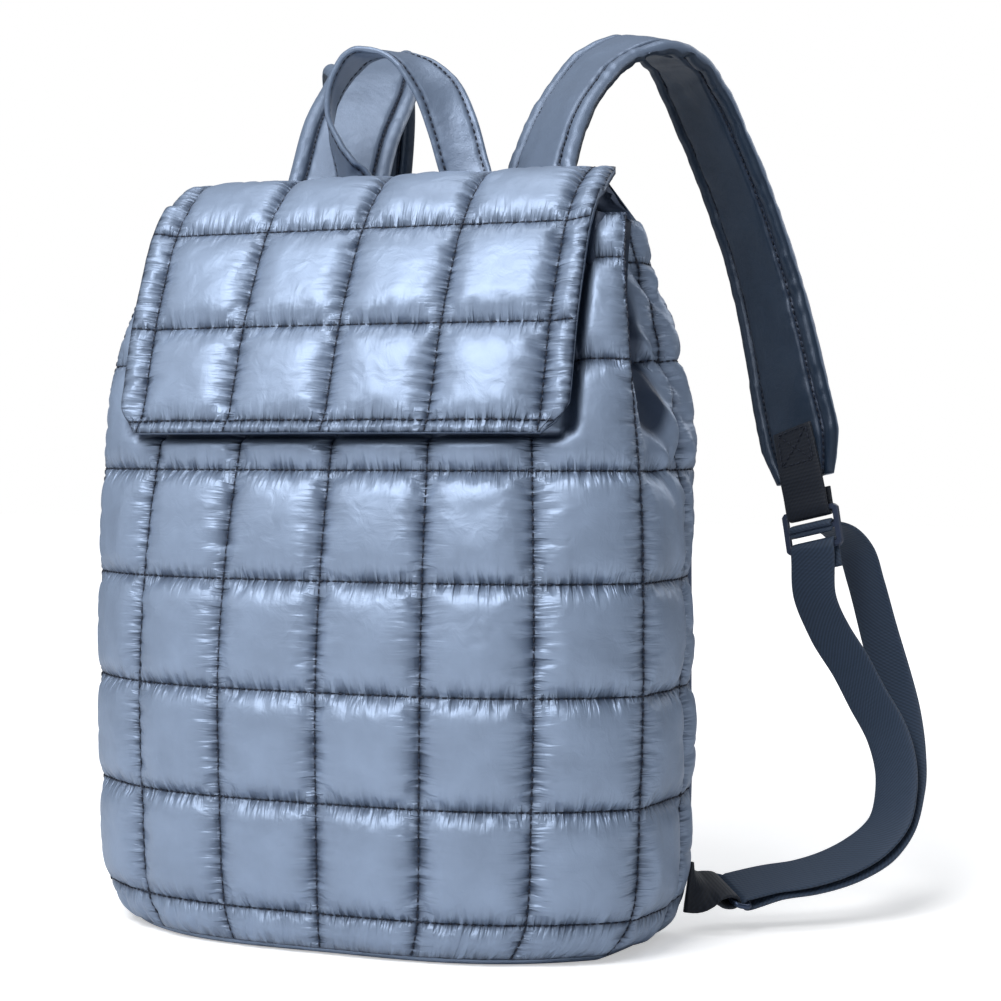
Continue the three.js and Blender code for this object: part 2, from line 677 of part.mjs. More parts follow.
// Webbing sewn on the strap's end, round the slider's top bar and back up behind it.
function strapTab(splay) {
  const place = sliderPlace(splay);
  const list = strapFrames(splay);
  const end = list[list.length - 1];
  const lift = strap_thickness / 2 + clearance + webbing_thickness / 2;
  const sewn = [];
  for (let i = list.length - 1; i >= 0 && sewn.length < 3; i -= 1) {
    if (list[i].p.distanceTo(end.p) >= (tab_length * (sewn.length + 1)) / 3 - 1e-6) {
      const out = list[i].n.clone();
      if (out.y > 0) out.negate();
      const off = lift * Math.max(0.92, list[i].thick);
      sewn.unshift({ p: list[i].p.clone().addScaledVector(out, off), w: list[i].w });
    }
  }
  const stations = [
    ...sewn,
    bySlider(place, slider_drop + 1, 1.6 * wrap),
    bySlider(place, lerp(outer_bar, slider_drop, 0.5), 1.2 * wrap),
    ...roundBar(place, outer_bar, 0, -180, 5),
    bySlider(place, outer_bar + tail_length / 2, -wrap),
    bySlider(place, outer_bar + tail_length, -wrap),
  ];
  return sweep(frames(stations, 2), flat_section, webbing_width, webbing_thickness);
}

// The anchor at the bag's back seam: its seam point, the ring's bars and their axes.
function anchorPlace() {
  const face = backFace(anchor_height);
  const seam = vec(face.half, face.y + back_thickness / 2, anchor_height);
  const away = widthAxis(anchor_turn, anchor_dip);
  const bar = widthAxis(inner_run[inner_run.length - 1].turn, loop_tilt);
  bar.addScaledVector(away, -bar.dot(away)).normalize();
  const inner = seam.clone().addScaledVector(away, anchor_reach);
  const outer = inner.clone().addScaledVector(away, ring_height - ring_wire);
  const lift = bar.clone().cross(away).normalize();
  if (lift.z < 0) lift.negate();
  return { seam, away, bar, lift, outer, inner };
}

// A closed wire ring with rounded corners and six-sided wire.
function anchorRing() {
  const place = anchorPlace();
  const half = webbing_width / 2 + ring_wire / 2 + 4 * clearance;
  const corner = ring_wire;
  const long = (ring_height - ring_wire) / 2;
  const middle = place.outer.clone().add(place.inner).multiplyScalar(0.5);
  const points = [];
  const faces = [];
  const sides = 6;
  const bends = 3;
  [[1, 1], [-1, 1], [-1, -1], [1, -1]].forEach(([a, b]) => {
    for (let i = 0; i < bends; i += 1) {
      const angle = Math.atan2(b, a) + (i / (bends - 1) - 0.5) * (Math.PI / 2);
      const u = a * (half - corner) + corner * Math.cos(angle);
      const v = b * (long - corner) + corner * Math.sin(angle);
      for (let k = 0; k < sides; k += 1) {
        const turn = (2 * Math.PI * (k + 0.5)) / sides;
        const r = (ring_wire / 2) * Math.cos(turn);
        points.push(middle.clone().addScaledVector(place.bar, u + r * Math.cos(angle))
          .addScaledVector(place.away, v + r * Math.sin(angle))
          .addScaledVector(place.lift, (ring_wire / 2) * Math.sin(turn)));
      }
    }
  });
  const n = 4 * bends;
  for (let k = 0; k < n; k += 1) {
    const m = (k + 1) % n;
    for (let i = 0; i < sides; i += 1) {
      const j = (i + 1) % sides;
      const [a, b, c, d] = [k * sides + i, m * sides + i, m * sides + j, k * sides + j];
      faces.push([a, b, c], [a, c, d]);
    }
  }
  return solid(points, faces);
}

// Stations round a bar of the ring; 0 degrees points away from the bag, 90 is up.
function roundRing(place, bar, from, to, count) {
  const stations = [];
  for (let i = 0; i < count; i += 1) {
    const angle = radians(lerp(from, to, i / (count - 1)));
    const p = bar.clone().addScaledVector(place.away, ring_wrap * Math.cos(angle))
      .addScaledVector(place.lift, ring_wrap * Math.sin(angle));
    stations.push({ p, w: place.bar });
  }
  return stations;
}

function anchorTab() {
  const place = anchorPlace();
  const down = vec(0, 0, -1);
  const reach = anchor_reach;
  const near = webbing_thickness / 2 + clearance;
  const at = (share, lift) => {
    const turned = smoothstep(Math.min(1, share / anchor_twist));
    return {
      p: place.seam.clone().addScaledVector(vec(1, 0, 0), near * (1 - turned))
        .addScaledVector(place.away, reach * share).addScaledVector(place.lift, lift),
      w: down.clone().lerp(place.bar, turned).normalize(),
    };
  };
  const stations = [
    at(0, 0),
    at(0.2, 0),
    at(0.4, near / 2),
    at(0.6, 1.5 * near),
    at(0.8, ring_wrap),
    ...roundRing(place, place.inner, 90, -90, 5),
    at(0.8, -ring_wrap),
    at(0.62, -near),
  ];
  return sweep(frames(stations, twist_steps), flat_section, webbing_width, webbing_thickness);
}

// One length of webbing from the slider's bottom bar through the ring and back to its middle bar.
function adjusterWebbing(splay) {
  const place = sliderPlace(splay);
  const anchor = anchorPlace();
  const run = (row) => {
    const low = clamp((row.down - 0.6) / 0.3, 0, 1);
    const lying = low * clamp((row.behind - 0.1) / 0.4, 0, 1);
    return {
      p: vec(
        lerp(place.middle.x, anchor.outer.x, row.down) + row.out * loop_out * splay,
        lerp(place.middle.y, anchor.outer.y, row.behind),
        lerp(place.middle.z, anchor.outer.z, row.down),
      ),
      w: widthAxis(row.turn, loop_tilt * lying),
    };
  };
  const stations = [
    bySlider(place, -outer_bar - tail_length, -wrap),
    bySlider(place, -outer_bar - tail_length / 2, -wrap),
    ...roundBar(place, -outer_bar, 180, 0, 5),
    ...inner_run.map(run),
    ...roundRing(anchor, anchor.outer, 90, 270, 5),
    ...outer_run.map(run),
    bySlider(place, slider_bar, -3 * wrap),
    ...roundBar(place, 0, slider_wrap, 0, 4),
    bySlider(place, -slider_bar, wrap),
  ];
  return sweep(frames(stations, 2), flat_section, webbing_width, webbing_thickness);
}

// Mirror image in the middle plane, still turned outward.
function mirrored(geometry) {
  const copy = geometry.clone();
  copy.scale(-1, 1, 1);
  const order = copy.index ? copy.index : new THREE.BufferAttribute(
    new Uint32Array([...Array(copy.attributes.position.count).keys()]),
    1,
  );
  const list = order.array;
  for (let i = 0; i < list.length; i += 3) [list[i + 1], list[i + 2]] = [list[i + 2], list[i + 1]];
  copy.setIndex(order);
  return copy;
}

const model = new THREE.Group();
model.name = 'quilted_backpack';

function add(name, geometry, colour, roughness) {
  const material = new THREE.MeshStandardMaterial({ color: colour, roughness });
  const mesh = new THREE.Mesh(geometry, material);
  mesh.name = name;
  model.add(mesh);
}

add('quilted_shell', quiltedShell(), shell_colour, 0.35);
add('base_panel', basePanel(), shell_colour, 0.45);
add('back_panel', backPanel(), lining_colour, 0.6);
add('flap', flap(), shell_colour, 0.35);
add('top_handle', topHandle(), shell_colour, 0.5);
for (const [name, splay, turn] of [['right', 1, (g) => g], ['left', left_splay, mirrored]]) {
  add(`strap_${name}`, turn(strap(splay)), shell_colour, 0.5);
  add(`strap_tab_${name}`, turn(strapTab(splay)), webbing_colour, 0.8);
  add(`slider_${name}`, turn(slider(splay)), plastic_colour, 0.4);
  add(`adjuster_webbing_${name}`, turn(adjusterWebbing(splay)), webbing_colour, 0.8);
  add(`anchor_ring_${name}`, turn(anchorRing()), plastic_colour, 0.4);
  add(`anchor_tab_${name}`, turn(anchorTab()), webbing_colour, 0.85);
}

export default model;
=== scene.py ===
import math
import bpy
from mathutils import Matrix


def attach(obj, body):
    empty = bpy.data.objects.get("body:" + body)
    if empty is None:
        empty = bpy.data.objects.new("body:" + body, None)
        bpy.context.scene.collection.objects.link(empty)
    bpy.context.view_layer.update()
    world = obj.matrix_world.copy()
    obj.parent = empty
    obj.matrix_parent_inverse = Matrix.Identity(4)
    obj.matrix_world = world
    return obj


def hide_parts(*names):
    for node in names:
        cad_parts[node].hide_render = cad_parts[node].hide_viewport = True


bl_info = {
    "name": "Quilted Puffer Backpack",
    "version": (1, 0, 0),
    "blender": (4, 5, 0),
    "location": "3D View > Sidebar > Backpack",
    "description": "Sews a quilted puffer backpack round its packed frame",
    "category": "Object",
}

import bpy
import numpy as np
from mathutils import Vector, noise

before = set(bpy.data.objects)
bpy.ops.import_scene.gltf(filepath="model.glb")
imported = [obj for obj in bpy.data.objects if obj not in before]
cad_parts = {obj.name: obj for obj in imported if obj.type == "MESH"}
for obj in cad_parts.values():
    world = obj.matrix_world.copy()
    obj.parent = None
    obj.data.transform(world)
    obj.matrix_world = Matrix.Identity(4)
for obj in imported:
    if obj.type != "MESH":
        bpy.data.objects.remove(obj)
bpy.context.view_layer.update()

# Millimetres, as in the part's source; meshes are scaled to metres when they are made.
MM = 0.001
QUILT_UP = 52.0
FIRST_ROW = 20.0
FULL_ROWS = 5
BODY_HALF_WIDTH = 145.0
BODY_FRONT = 68.0
BODY_BACK = 57.0
HEM_TOP = 349.0
HEM_HEIGHT = 21.0
WALL = 2.6
PILLOW = 7.0
CLEARANCE = 0.3
BASE_THICKNESS = 3.0
BACK_THICKNESS = 6.0
BACK_TOP = 369.0
BACK_TOP_HALF_WIDTH = 107.0
BACK_TOP_Y = 35.0
FRONT_CELLS = 3
SIDE_CELLS = 1.5
FLAP_HALF_WIDTH = 118.0
FLAP_QUILT = 52.5
FLAP_SEAM = 3.0
FLAP_CORNER = 12.0
WEBBING_WIDTH = 25.0
WEBBING_THICKNESS = 1.8
HANDLE_WIDTH = 26.0
HANDLE_THICKNESS = 3.0
HANDLE_SPREAD = 32.5
HANDLE_RISE = 72.0
STRAP_WIDTH = 52.0
STRAP_THICKNESS = 9.0
STRAP_SPREAD = 57.0
STRAP_ROOT = 30.0
STRAP_OUT = 103.0
STRAP_BEHIND = 165.0
STRAP_RISE = 86.0
LEFT_SPLAY = 0.6
SPLAY_ROW = 8
ANCHOR_TURN = 51.0
ANCHOR_DIP = -9.0
ANCHOR_TWIST = 0.7
SLIDER_WRAP = 125.0
TAB_LENGTH = 28.0
SLIDER_HEIGHT = 23.0
SLIDER_THICKNESS = 2.6
SLIDER_BAR = 3.0
SLIDER_DROP = 28.0
TAIL_LENGTH = 12.0
LOOP_OUT = 58.0
LOOP_TILT = -20.0
RING_WIRE = 3.0
RING_HEIGHT = 12.0
ANCHOR_HEIGHT = 23.0
ANCHOR_REACH = 22.0

SHELL_BOTTOM = BASE_THICKNESS + CLEARANCE
HEM_SEAM = HEM_TOP - HEM_HEIGHT
TOP_ROW = FIRST_ROW + FULL_ROWS * QUILT_UP
LAST_CELL = FRONT_CELLS + SIDE_CELLS
OUTER_BAR = SLIDER_HEIGHT / 2 - SLIDER_BAR / 2
WRAP = math.hypot(SLIDER_BAR, SLIDER_THICKNESS) / 2 + CLEARANCE + WEBBING_THICKNESS / 2
RING_WRAP = RING_WIRE / 2 + 2 * CLEARANCE + WEBBING_THICKNESS / 2

SIM_SCALE = 0.02     # simulated metres for each millimetre of the bag
SIM_FRAMES = 20
SIM_BENDING = 2.0
CELL_STEPS = 30      # faces across one quilt square
FLAP_LOW = 245.0     # height of the flap's bottom edge
BODY_CAP = 9.0       # farthest that the filling moves a point of the body
FLAP_CAP = 8.0
STRAP_CHANNEL = 0.33     # stitched channels of the strap, share of its width from the middle
STRAP_SEAM_HALF = 2.2    # height of those channels above the strap's middle
HANDLE_CHANNEL = 0.37
HANDLE_SEAM_HALF = 0.75
BAR_TACK_START = 21.0    # from the loop's end to its bar tack
BAR_TACK_LENGTH = 12.0
STITCH_SHARE = 0.73      # length of a stitch as a share of the pitch
FLAP_EDGE_ROW = 0.11     # stitched row beside the flap's hanging edge, in quilt rows
MOUTH_PLACE = 0.24       # drawn-in fold at the mouth, share of the side from the corner
MOUTH_SPREAD = 0.17
MOUTH_DEPTH = 11.0

# The camera, as worked out from the photograph, in metres, degrees and pixels.
CAMERA_TURN = 25
CAMERA_AWAY = 1.2
CAMERA_HEIGHT = 0.2395
PHOTO_PIXELS = 1001
FOCAL_PIXELS = 2430
AXIS_PIXEL = 376.5
HORIZON_PIXEL = 446
SENSOR = 36

# Studio lights: name, place and size in metres, and power in watts.
LIGHTS = (
    ("KeyLight", (-0.15, -1.0, 1.2), (1.0, 0.7), 21.5),
    ("LeftLight", (-1.5, -0.7, 0.8), (0.7, 1.0), 3),
    ("TopLight", (0.0, 0.1, 1.6), (0.9, 0.6), 6.5),
    ("BackLight", (0.6, 1.4, 1.0), (1.0, 0.8), 5),
)
FLOOR_HALF = 6.0         # half the floor's side, in metres

# Wall sections: place up the wall as a share of HEM_TOP, then corner x, corner y, front, back
# seam x and y, bulge of the side, side fold and sideways shift, each a share of its own size.
WALL_TABLE = np.array([
    (0.000, 0.860, 0.31, 0.92, 0.890, 0.86, 0.30, 0.000, 0.000),
    (0.057, 0.960, 0.31, 0.96, 0.962, 0.96, 0.35, 0.000, 0.000),
    (0.206, 0.990, 0.31, 0.99, 0.985, 1.00, 0.35, 0.000, 0.000),
    (0.355, 1.000, 0.30, 1.00, 0.985, 1.00, 0.35, 0.000, 0.000),
    (0.504, 1.000, 0.30, 0.93, 0.985, 1.00, 0.35, 0.000, 0.000),
    (0.653, 0.990, 0.30, 0.78, 0.980, 1.00, 0.30, 0.008, 0.000),
    (0.802, 0.962, 0.27, 0.55, 0.930, 0.98, 0.15, 0.085, 0.000),
    (0.940, 0.892, 0.14, 0.23, 0.828, 0.88, 0.05, 0.165, 0.030),
    (1.000, 0.865, 0.04, 0.06, 0.780, 0.77, 0.00, 0.180, 0.045),
])
FRONT_POWER = 3.4
FOLD_PLACE = 0.36
FOLD_SPREAD = 0.22

# Flap from its hanging edge: quilt row, then y, z, how far the sides fall back, and half width.
FLAP_TABLE = np.array([
    (0.0, -0.895, 0.702, 0.20, 1.000),
    (0.5, -0.760, 0.777, 0.17, 1.000),
    (1.0, -0.620, 0.852, 0.13, 1.000),
    (1.5, -0.430, 0.925, 0.08, 1.000),
    (2.0, -0.230, 0.990, 0.04, 1.000),
    (2.5, 0.050, 1.045, 0.03, 1.000),
    (3.0, 0.350, 1.072, 0.00, 0.985),
    (3.4, 0.550, 1.067, 0.00, 0.930),
])

# Carrying loop: x, z and the plan angle of its width.
HANDLE_TABLE = np.array([
    (1.00, -0.24, 0), (0.98, 0.03, 0), (0.88, 0.16, 10), (0.68, 0.46, 22), (0.43, 0.71, 38),
    (0.05, 0.90, 54), (-0.36, 0.99, 68), (-0.87, 1.00, 80), (-1.20, 0.87, 92),
    (-1.40, 0.69, 104), (-1.43, 0.51, 114), (-1.29, 0.31, 126), (-1.12, 0.15, 145),
    (-1.00, 0.03, 180), (-1.00, -0.24, 180),
])

# Shoulder strap: out, behind, up, turn, tilt, width and thickness.
STRAP_TABLE = np.array([
    (0.000, 0.000, -0.350, -1, 0, 1.00, 0.7),
    (0.000, 0.036, -0.080, -12, 0, 1.00, 0.9),
    (0.000, 0.097, 0.093, -30, 0, 1.00, 1.0),
    (0.024, 0.230, 0.448, -35, 0, 1.00, 1.0),
    (0.061, 0.424, 0.761, -36, -4, 1.00, 1.0),
    (0.117, 0.539, 0.914, -34, -9, 1.00, 1.0),
    (0.246, 0.655, 1.021, -30, -12, 1.00, 1.0),
    (0.346, 0.782, 0.956, -28, -11, 1.00, 1.0),
    (0.400, 0.885, 0.774, -27, -9, 1.00, 1.0),
    (0.510, 0.952, 0.415, -29, -7, 1.00, 1.0),
    (0.627, 0.988, 0.016, -30, -6, 1.00, 1.0),
    (0.730, 1.000, -0.382, -31, -5, 1.00, 1.0),
    (0.829, 0.976, -0.804, -29, -4, 1.00, 1.0),
    (0.915, 0.939, -1.216, -25, -2, 1.00, 1.0),
    (0.975, 0.909, -1.475, -20, -1, 0.96, 0.9),
    (1.015, 0.885, -1.715, -12, 0, 0.66, 0.6),
])

# Webbing loop: out, behind, down and turn, down the inner run and up the outer run.
INNER_RUN = np.array([
    (0.032, 0.030, 0.104, -9), (0.050, 0.009, 0.202, -10), (0.187, -0.022, 0.311, -12),
    (0.397, -0.013, 0.409, -18), (0.589, 0.022, 0.505, -22), (0.806, 0.091, 0.600, -26),
    (0.951, 0.195, 0.688, -30), (1.021, 0.325, 0.773, -34), (1.016, 0.437, 0.838, -38),
    (0.900, 0.567, 0.893, -42), (0.703, 0.714, 0.933, -44), (0.472, 0.835, 0.956, -45),
    (0.232, 0.913, 0.968, -45),
])
OUTER_RUN = np.array([
    (0.259, 0.905, 0.988, -45), (0.517, 0.814, 0.976, -45), (0.757, 0.688, 0.953, -44),
    (0.952, 0.541, 0.912, -42), (1.050, 0.403, 0.855, -38), (1.056, 0.255, 0.779, -34),
    (0.994, 0.091, 0.694, -30), (0.875, -0.065, 0.584, -27), (0.717, -0.186, 0.463, -25),
    (0.541, -0.255, 0.319, -24), (0.391, -0.264, 0.165, -24), (0.288, -0.238, 0.063, -22),
    (0.145, -0.160, 0.003, -14),
])


def chosen(name):
    """A size or colour from the panel's settings, in metres or as red, green and blue."""
    value = getattr(bpy.context.scene.backpack, name)
    return tuple(value) if hasattr(value, "__len__") else value


def unit(v):
    """Vectors of length one."""
    return v / np.maximum(np.linalg.norm(v, axis=-1, keepdims=True), 1e-12)


def ease(low, high, at):
    """Smooth step from 0 at low to 1 at high."""
    t = np.clip((at - low) / (high - low), 0, 1)
    return t * t * (3 - 2 * t)


def smooth_rows(table, at):
    """Smooth values of a table's other columns at places along its first column."""
    at = np.atleast_1d(at)
    key, value = table[:, 0], table[:, 1:]
    last = len(key) - 1
    i = np.clip(np.searchsorted(key, at, side="left") - 1, 0, last - 1)
    low, high = np.maximum(i - 1, 0), np.minimum(i + 2, last)
    slope_a = (value[i + 1] - value[low]) / (key[i + 1] - key[low])[:, None]
    slope_b = (value[high] - value[i]) / (key[high] - key[i])[:, None]
    span = (key[i + 1] - key[i])[:, None]
    t = np.clip((at - key[i])[:, None] / span, 0, 1)
    t2, t3 = t * t, t * t * t
    return (value[i] * (2 * t3 - 3 * t2 + 1) + value[i + 1] * (3 * t2 - 2 * t3)
            + slope_a * span * (t3 - 2 * t2 + t) + slope_b * span * (t3 - t2))


def ripple(points, scale, seed):
    """Soft noise from -1 to 1 over points in millimetres; scale is the size of a lump."""
    offset = Vector((seed * 17.3, seed * 5.1, seed * 11.7))
    flat = points.reshape(-1, 3) / scale
    values = [noise.noise(Vector(p) + offset) for p in flat]
    return np.array(values).reshape(points.shape[:-1])


def grid_faces(rows, columns, start, turned):
    """Four-sided faces of a grid of points that begins at a point number."""
    at = start + np.arange(rows * columns).reshape(rows, columns)
    a, b = at[:-1, :-1].ravel(), at[1:, :-1].ravel()
    c, d = at[1:, 1:].ravel(), at[:-1, 1:].ravel()
    return np.stack([a, d, c, b] if turned else [a, b, c, d], 1)


def border(rows, columns, start):
    """A grid's border as one closed round: places from 0 to 4 and point numbers."""
    at = start + np.arange(rows * columns).reshape(rows, columns)
    sides = [at[:-1, 0], at[-1, :-1], at[:0:-1, -1], at[0, :0:-1]]
    places = [k + np.arange(len(s)) / len(s) for k, s in enumerate(sides)]
    return np.append(np.concatenate(places), 4.0), np.append(np.concatenate(sides), at[0, 0])


def zip_borders(outer, inner):
    """Triangles between two borders whose steps differ."""
    (pa, a), (pb, b) = outer, inner
    faces, i, j = [], 0, 0
    while i < len(a) - 1 or j < len(b) - 1:
        next_a = pa[i + 1] if i < len(a) - 1 else math.inf
        next_b = pb[j + 1] if j < len(b) - 1 else math.inf
        if next_a <= next_b:
            faces.append((a[i + 1], a[i], b[j]))
            i += 1
        else:
            faces.append((a[i], b[j], b[j + 1]))
            j += 1
    return np.array(faces)


def cloth_mesh(name, points, faces, uv=None, marks=None):
    """Object from points in millimetres and lists of faces, smooth, with its own marks."""
    mesh = bpy.data.meshes.new(name)
    mesh.vertices.add(len(points))
    mesh.vertices.foreach_set("co", (points * MM).astype(np.float32).ravel())
    loops = np.concatenate([f.ravel() for f in faces])
    counts = np.concatenate([np.full(len(f), f.shape[1]) for f in faces])
    starts = np.concatenate([[0], np.cumsum(counts)[:-1]])
    mesh.loops.add(len(loops))
    mesh.loops.foreach_set("vertex_index", loops.astype(np.int32))
    mesh.polygons.add(len(counts))
    mesh.polygons.foreach_set("loop_start", starts.astype(np.int32))
    mesh.polygons.foreach_set("use_smooth", np.ones(len(counts), bool))
    if uv is not None:
        layer = mesh.uv_layers.new(name="Strip")
        layer.data.foreach_set("uv", uv[loops].astype(np.float32).ravel())
    for mark, values in (marks or {}).items():
        layer = mesh.attributes.new(mark, "FLOAT", "POINT")
        layer.data.foreach_set("value", values.astype(np.float32).ravel())
    mesh.update(calc_edges=True)
    mesh.validate()
    obj = bpy.data.objects.new(name, mesh)
    bpy.context.scene.collection.objects.link(obj)
    return obj


def dress(obj, material, slot_name, *nodes, fill=None):
    """Gives a piece its material and its place on the frame, and hides the frame's parts that it
    stands for.
    """
    obj.data.materials.clear()
    obj.data.materials.append(material)
    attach(obj, "root")
    if nodes:
        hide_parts(*nodes)
    return obj


def wall_section(height):
    """The wall's sizes at one height, with the front's length measured along it."""
    row = smooth_rows(WALL_TABLE, height / HEM_TOP)[0]
    corner_x, corner_y = row[0] * BODY_HALF_WIDTH, row[1] * BODY_FRONT
    front, seam_x, seam_y = row[2] * BODY_FRONT, row[3] * BODY_HALF_WIDTH, row[4] * BODY_BACK
    u = np.linspace(0, 1, 49)
    y = -corner_y - (front - corner_y) * (1 - u ** FRONT_POWER)
    arc = np.append(0, np.cumsum(np.hypot(np.diff(u * corner_x), np.diff(y))))
    return {
        "corner": (corner_x, corner_y), "front": front, "seam": (seam_x, seam_y),
        "bulge": row[5] * PILLOW, "fold": row[6] * BODY_HALF_WIDTH,
        "shift": row[7] * BODY_HALF_WIDTH, "u": u, "arc": arc, "height": height,
    }


def wall_points(section, q):
    """Points of the wall at its seam level; q counts quilt squares from the front's middle."""
    side, cells = np.where(q < 0, -1.0, 1.0), np.abs(q)
    corner_x, corner_y = section["corner"]
    seam_x, seam_y = section["seam"]
    length = np.clip(cells / FRONT_CELLS, 0, 1) * section["arc"][-1]
    u = np.interp(length, section["arc"], section["u"])
    bow = (section["front"] - corner_y) * (1 - u ** FRONT_POWER)
    w = np.clip((cells - FRONT_CELLS) / SIDE_CELLS, 0, 1)
    valley = np.exp(-(((w - FOLD_PLACE) / FOLD_SPREAD) ** 2))
    side_x = (corner_x + (seam_x - corner_x) * w + section["bulge"] * 4 * w * (1 - w)
              - section["fold"] * valley)
    side_y = -corner_y + (seam_y + corner_y) * w
    ahead = cells <= FRONT_CELLS
    x = np.where(ahead, corner_x * u, side_x)
    y = np.where(ahead, -corner_y - bow, side_y)
    z = np.full_like(q, section["height"])
    return np.stack([side * x + section["shift"], y, z], -1)


def grid_normals(points):
    """Outward normals of a grid whose rows go up and whose columns go round."""
    across = np.gradient(points, axis=1)
    up = np.gradient(points, axis=0)
    return unit(np.cross(across, up))


def puff_shape(t):
    """Share of full puff at a place between two seams."""
    return np.maximum(np.sin(np.pi * np.clip(t, 0, 1)), 0) ** 0.6


def fill_cloth(name, points, pinned, excess, pressure, cap):
    """Blows up a sheet between its pinned seams with a cloth simulation; returns its points."""
    rows, columns = points.shape[:2]
    grown = points.reshape(-1, 3) * SIM_SCALE
    mesh = bpy.data.meshes.new(name)
    faces = grid_faces(rows, columns, 0, True)
    mesh.from_pydata(grown.tolist(), [], faces.tolist())
    obj = bpy.data.objects.new(name, mesh)
    bpy.context.scene.collection.objects.link(obj)
    group = obj.vertex_groups.new(name="Seams")
    group.add(np.flatnonzero(pinned.ravel()).tolist(), 1.0, "REPLACE")
    cloth = obj.modifiers.new("Puff", "CLOTH")
    cloth.settings.vertex_group_mass = "Seams"
    cloth.settings.quality = 4
    cloth.settings.mass = 0.2
    cloth.settings.tension_stiffness = 20
    cloth.settings.compression_stiffness = 20
    cloth.settings.shear_stiffness = 10
    cloth.settings.bending_stiffness = SIM_BENDING
    cloth.settings.air_damping = 2.0
    cloth.settings.shrink_min = -excess
    cloth.settings.use_pressure = True
    cloth.settings.uniform_pressure_force = pressure
    cloth.settings.effector_weights.gravity = 0
    cloth.collision_settings.use_collision = False
    cloth.collision_settings.use_self_collision = False
    cloth.point_cache.frame_start = 1
    cloth.point_cache.frame_end = SIM_FRAMES
    for f in range(1, SIM_FRAMES + 1):
        bpy.context.scene.frame_set(f)
    shown = obj.evaluated_get(bpy.context.evaluated_depsgraph_get())
    out = np.zeros(len(grown) * 3, np.float32)
    shown.data.vertices.foreach_get("co", out)
    bpy.data.objects.remove(obj)
    bpy.data.meshes.remove(mesh)
    bpy.context.scene.frame_set(1)
    moved = out.reshape(points.shape).astype(float) / SIM_SCALE - points
    far = np.linalg.norm(moved, axis=-1, keepdims=True)
    return points + moved * np.minimum(1, cap / np.maximum(far, 1e-9))


def body_grid(steps):
    """Seam-level grid of the body's wall, which of its points are stitched, and its puff."""
    rows = [np.linspace(SHELL_BOTTOM, FIRST_ROW, steps // 3, endpoint=False)]
    for row in range(FULL_ROWS):
        low = FIRST_ROW + row * QUILT_UP
        rows.append(np.linspace(low, low + QUILT_UP, steps, endpoint=False))
    rows.append(np.linspace(TOP_ROW, HEM_SEAM, steps - 2, endpoint=False))
    rows.append(np.linspace(HEM_SEAM, HEM_TOP, steps // 2 + 1))
    heights = np.concatenate(rows)
    q = np.linspace(-LAST_CELL, LAST_CELL, int(2 * LAST_CELL * steps) + 1)
    points = np.stack([wall_points(wall_section(h), q) for h in heights])
    seam_rows = [SHELL_BOTTOM] + [FIRST_ROW + k * QUILT_UP for k in range(FULL_ROWS + 1)]
    seam_rows += [HEM_SEAM, HEM_TOP]
    on_row = np.min(np.abs(heights[:, None] - np.array(seam_rows)), 1) < 0.01
    on_column = np.abs(q - np.round(q)) < 0.001
    on_column[[0, -1]] = True
    pinned = on_row[:, None] | on_column[None, :]
    cells = np.abs(q)
    whole = np.floor(np.minimum(cells, LAST_CELL - 1e-6))
    last = whole + 1 > LAST_CELL
    across = puff_shape((cells - whole) / np.where(last, LAST_CELL - whole, 1))
    across = across * np.where(last, 0.6, 1)
    up = np.zeros_like(heights)
    for low, high, share in zip(seam_rows[:-1], seam_rows[1:], [0.5, 1, 1, 1, 1, 1, 0.85, 0.3]):
        inside = (heights >= low) & (heights <= high)
        up[inside] = np.maximum(up[inside], share * puff_shape((heights[inside] - low) / (high - low)))
    return points, pinned, up[:, None] * across[None, :], heights, q


def under_flap(points):
    """Share from 0 to 1 of how far the flap covers points of the body."""
    x, z = np.abs(points[..., 0]), points[..., 2]
    return ease(238, 250, z) * (1 - ease(108, 118, x)) * (points[..., 1] < 0)


def seam_distances(points, pinned_rows, pinned_columns):
    """Distances in millimetres to the nearest stitched row and column, for the materials."""
    up = np.linalg.norm(np.diff(points, axis=0), axis=-1).mean(1)
    across = np.linalg.norm(np.diff(points, axis=1), axis=-1).mean(0)
    height, length = [np.append(0, np.cumsum(v)) for v in (up, across)]
    to_row = np.min(np.abs(height[:, None] - height[pinned_rows][None]), 1)
    to_column = np.min(np.abs(length[:, None] - length[pinned_columns][None]), 1)
    uv = np.stack(np.meshgrid(length, height), -1)
    return to_row, to_column, uv


def quilt_marks(points, pinned, extra):
    """Marks and flat coordinates of a quilted sheet; extra counts the plain points after it."""
    to_row, to_column, uv = seam_distances(points, np.flatnonzero(pinned.all(1)),
                                           np.flatnonzero(pinned.all(0)))
    shape = points.shape[:2]
    far = np.full(extra, 40.0)
    marks = {
        "to_row": np.append(np.broadcast_to(to_row[:, None], shape).ravel(), far),
        "to_column": np.append(np.broadcast_to(to_column[None], shape).ravel(), far),
    }
    return marks, np.concatenate([uv.reshape(-1, 2) * MM, np.zeros((extra, 2))])


def soften(points, pinned, times):
    """Evens out single bumps of a grid and leaves its stitched points."""
    for _ in range(times):
        mean = points.copy()
        mean[1:-1, 1:-1] = (points[:-2, 1:-1] + points[2:, 1:-1]
                            + points[1:-1, :-2] + points[1:-1, 2:]) / 4
        points = np.where(pinned[..., None], points, points * 0.5 + mean * 0.5)
    return points


def closed_sheet(outer, inner):
    """Points and faces of a closed sheet between an outer and an inner grid."""
    start = outer.shape[0] * outer.shape[1]
    faces = [
        grid_faces(*outer.shape[:2], 0, True),
        grid_faces(*inner.shape[:2], start, False),
        zip_borders(border(*outer.shape[:2], 0), border(*inner.shape[:2], start))[:, ::-1],
    ]
    return np.concatenate([outer.reshape(-1, 3), inner.reshape(-1, 3)]), faces


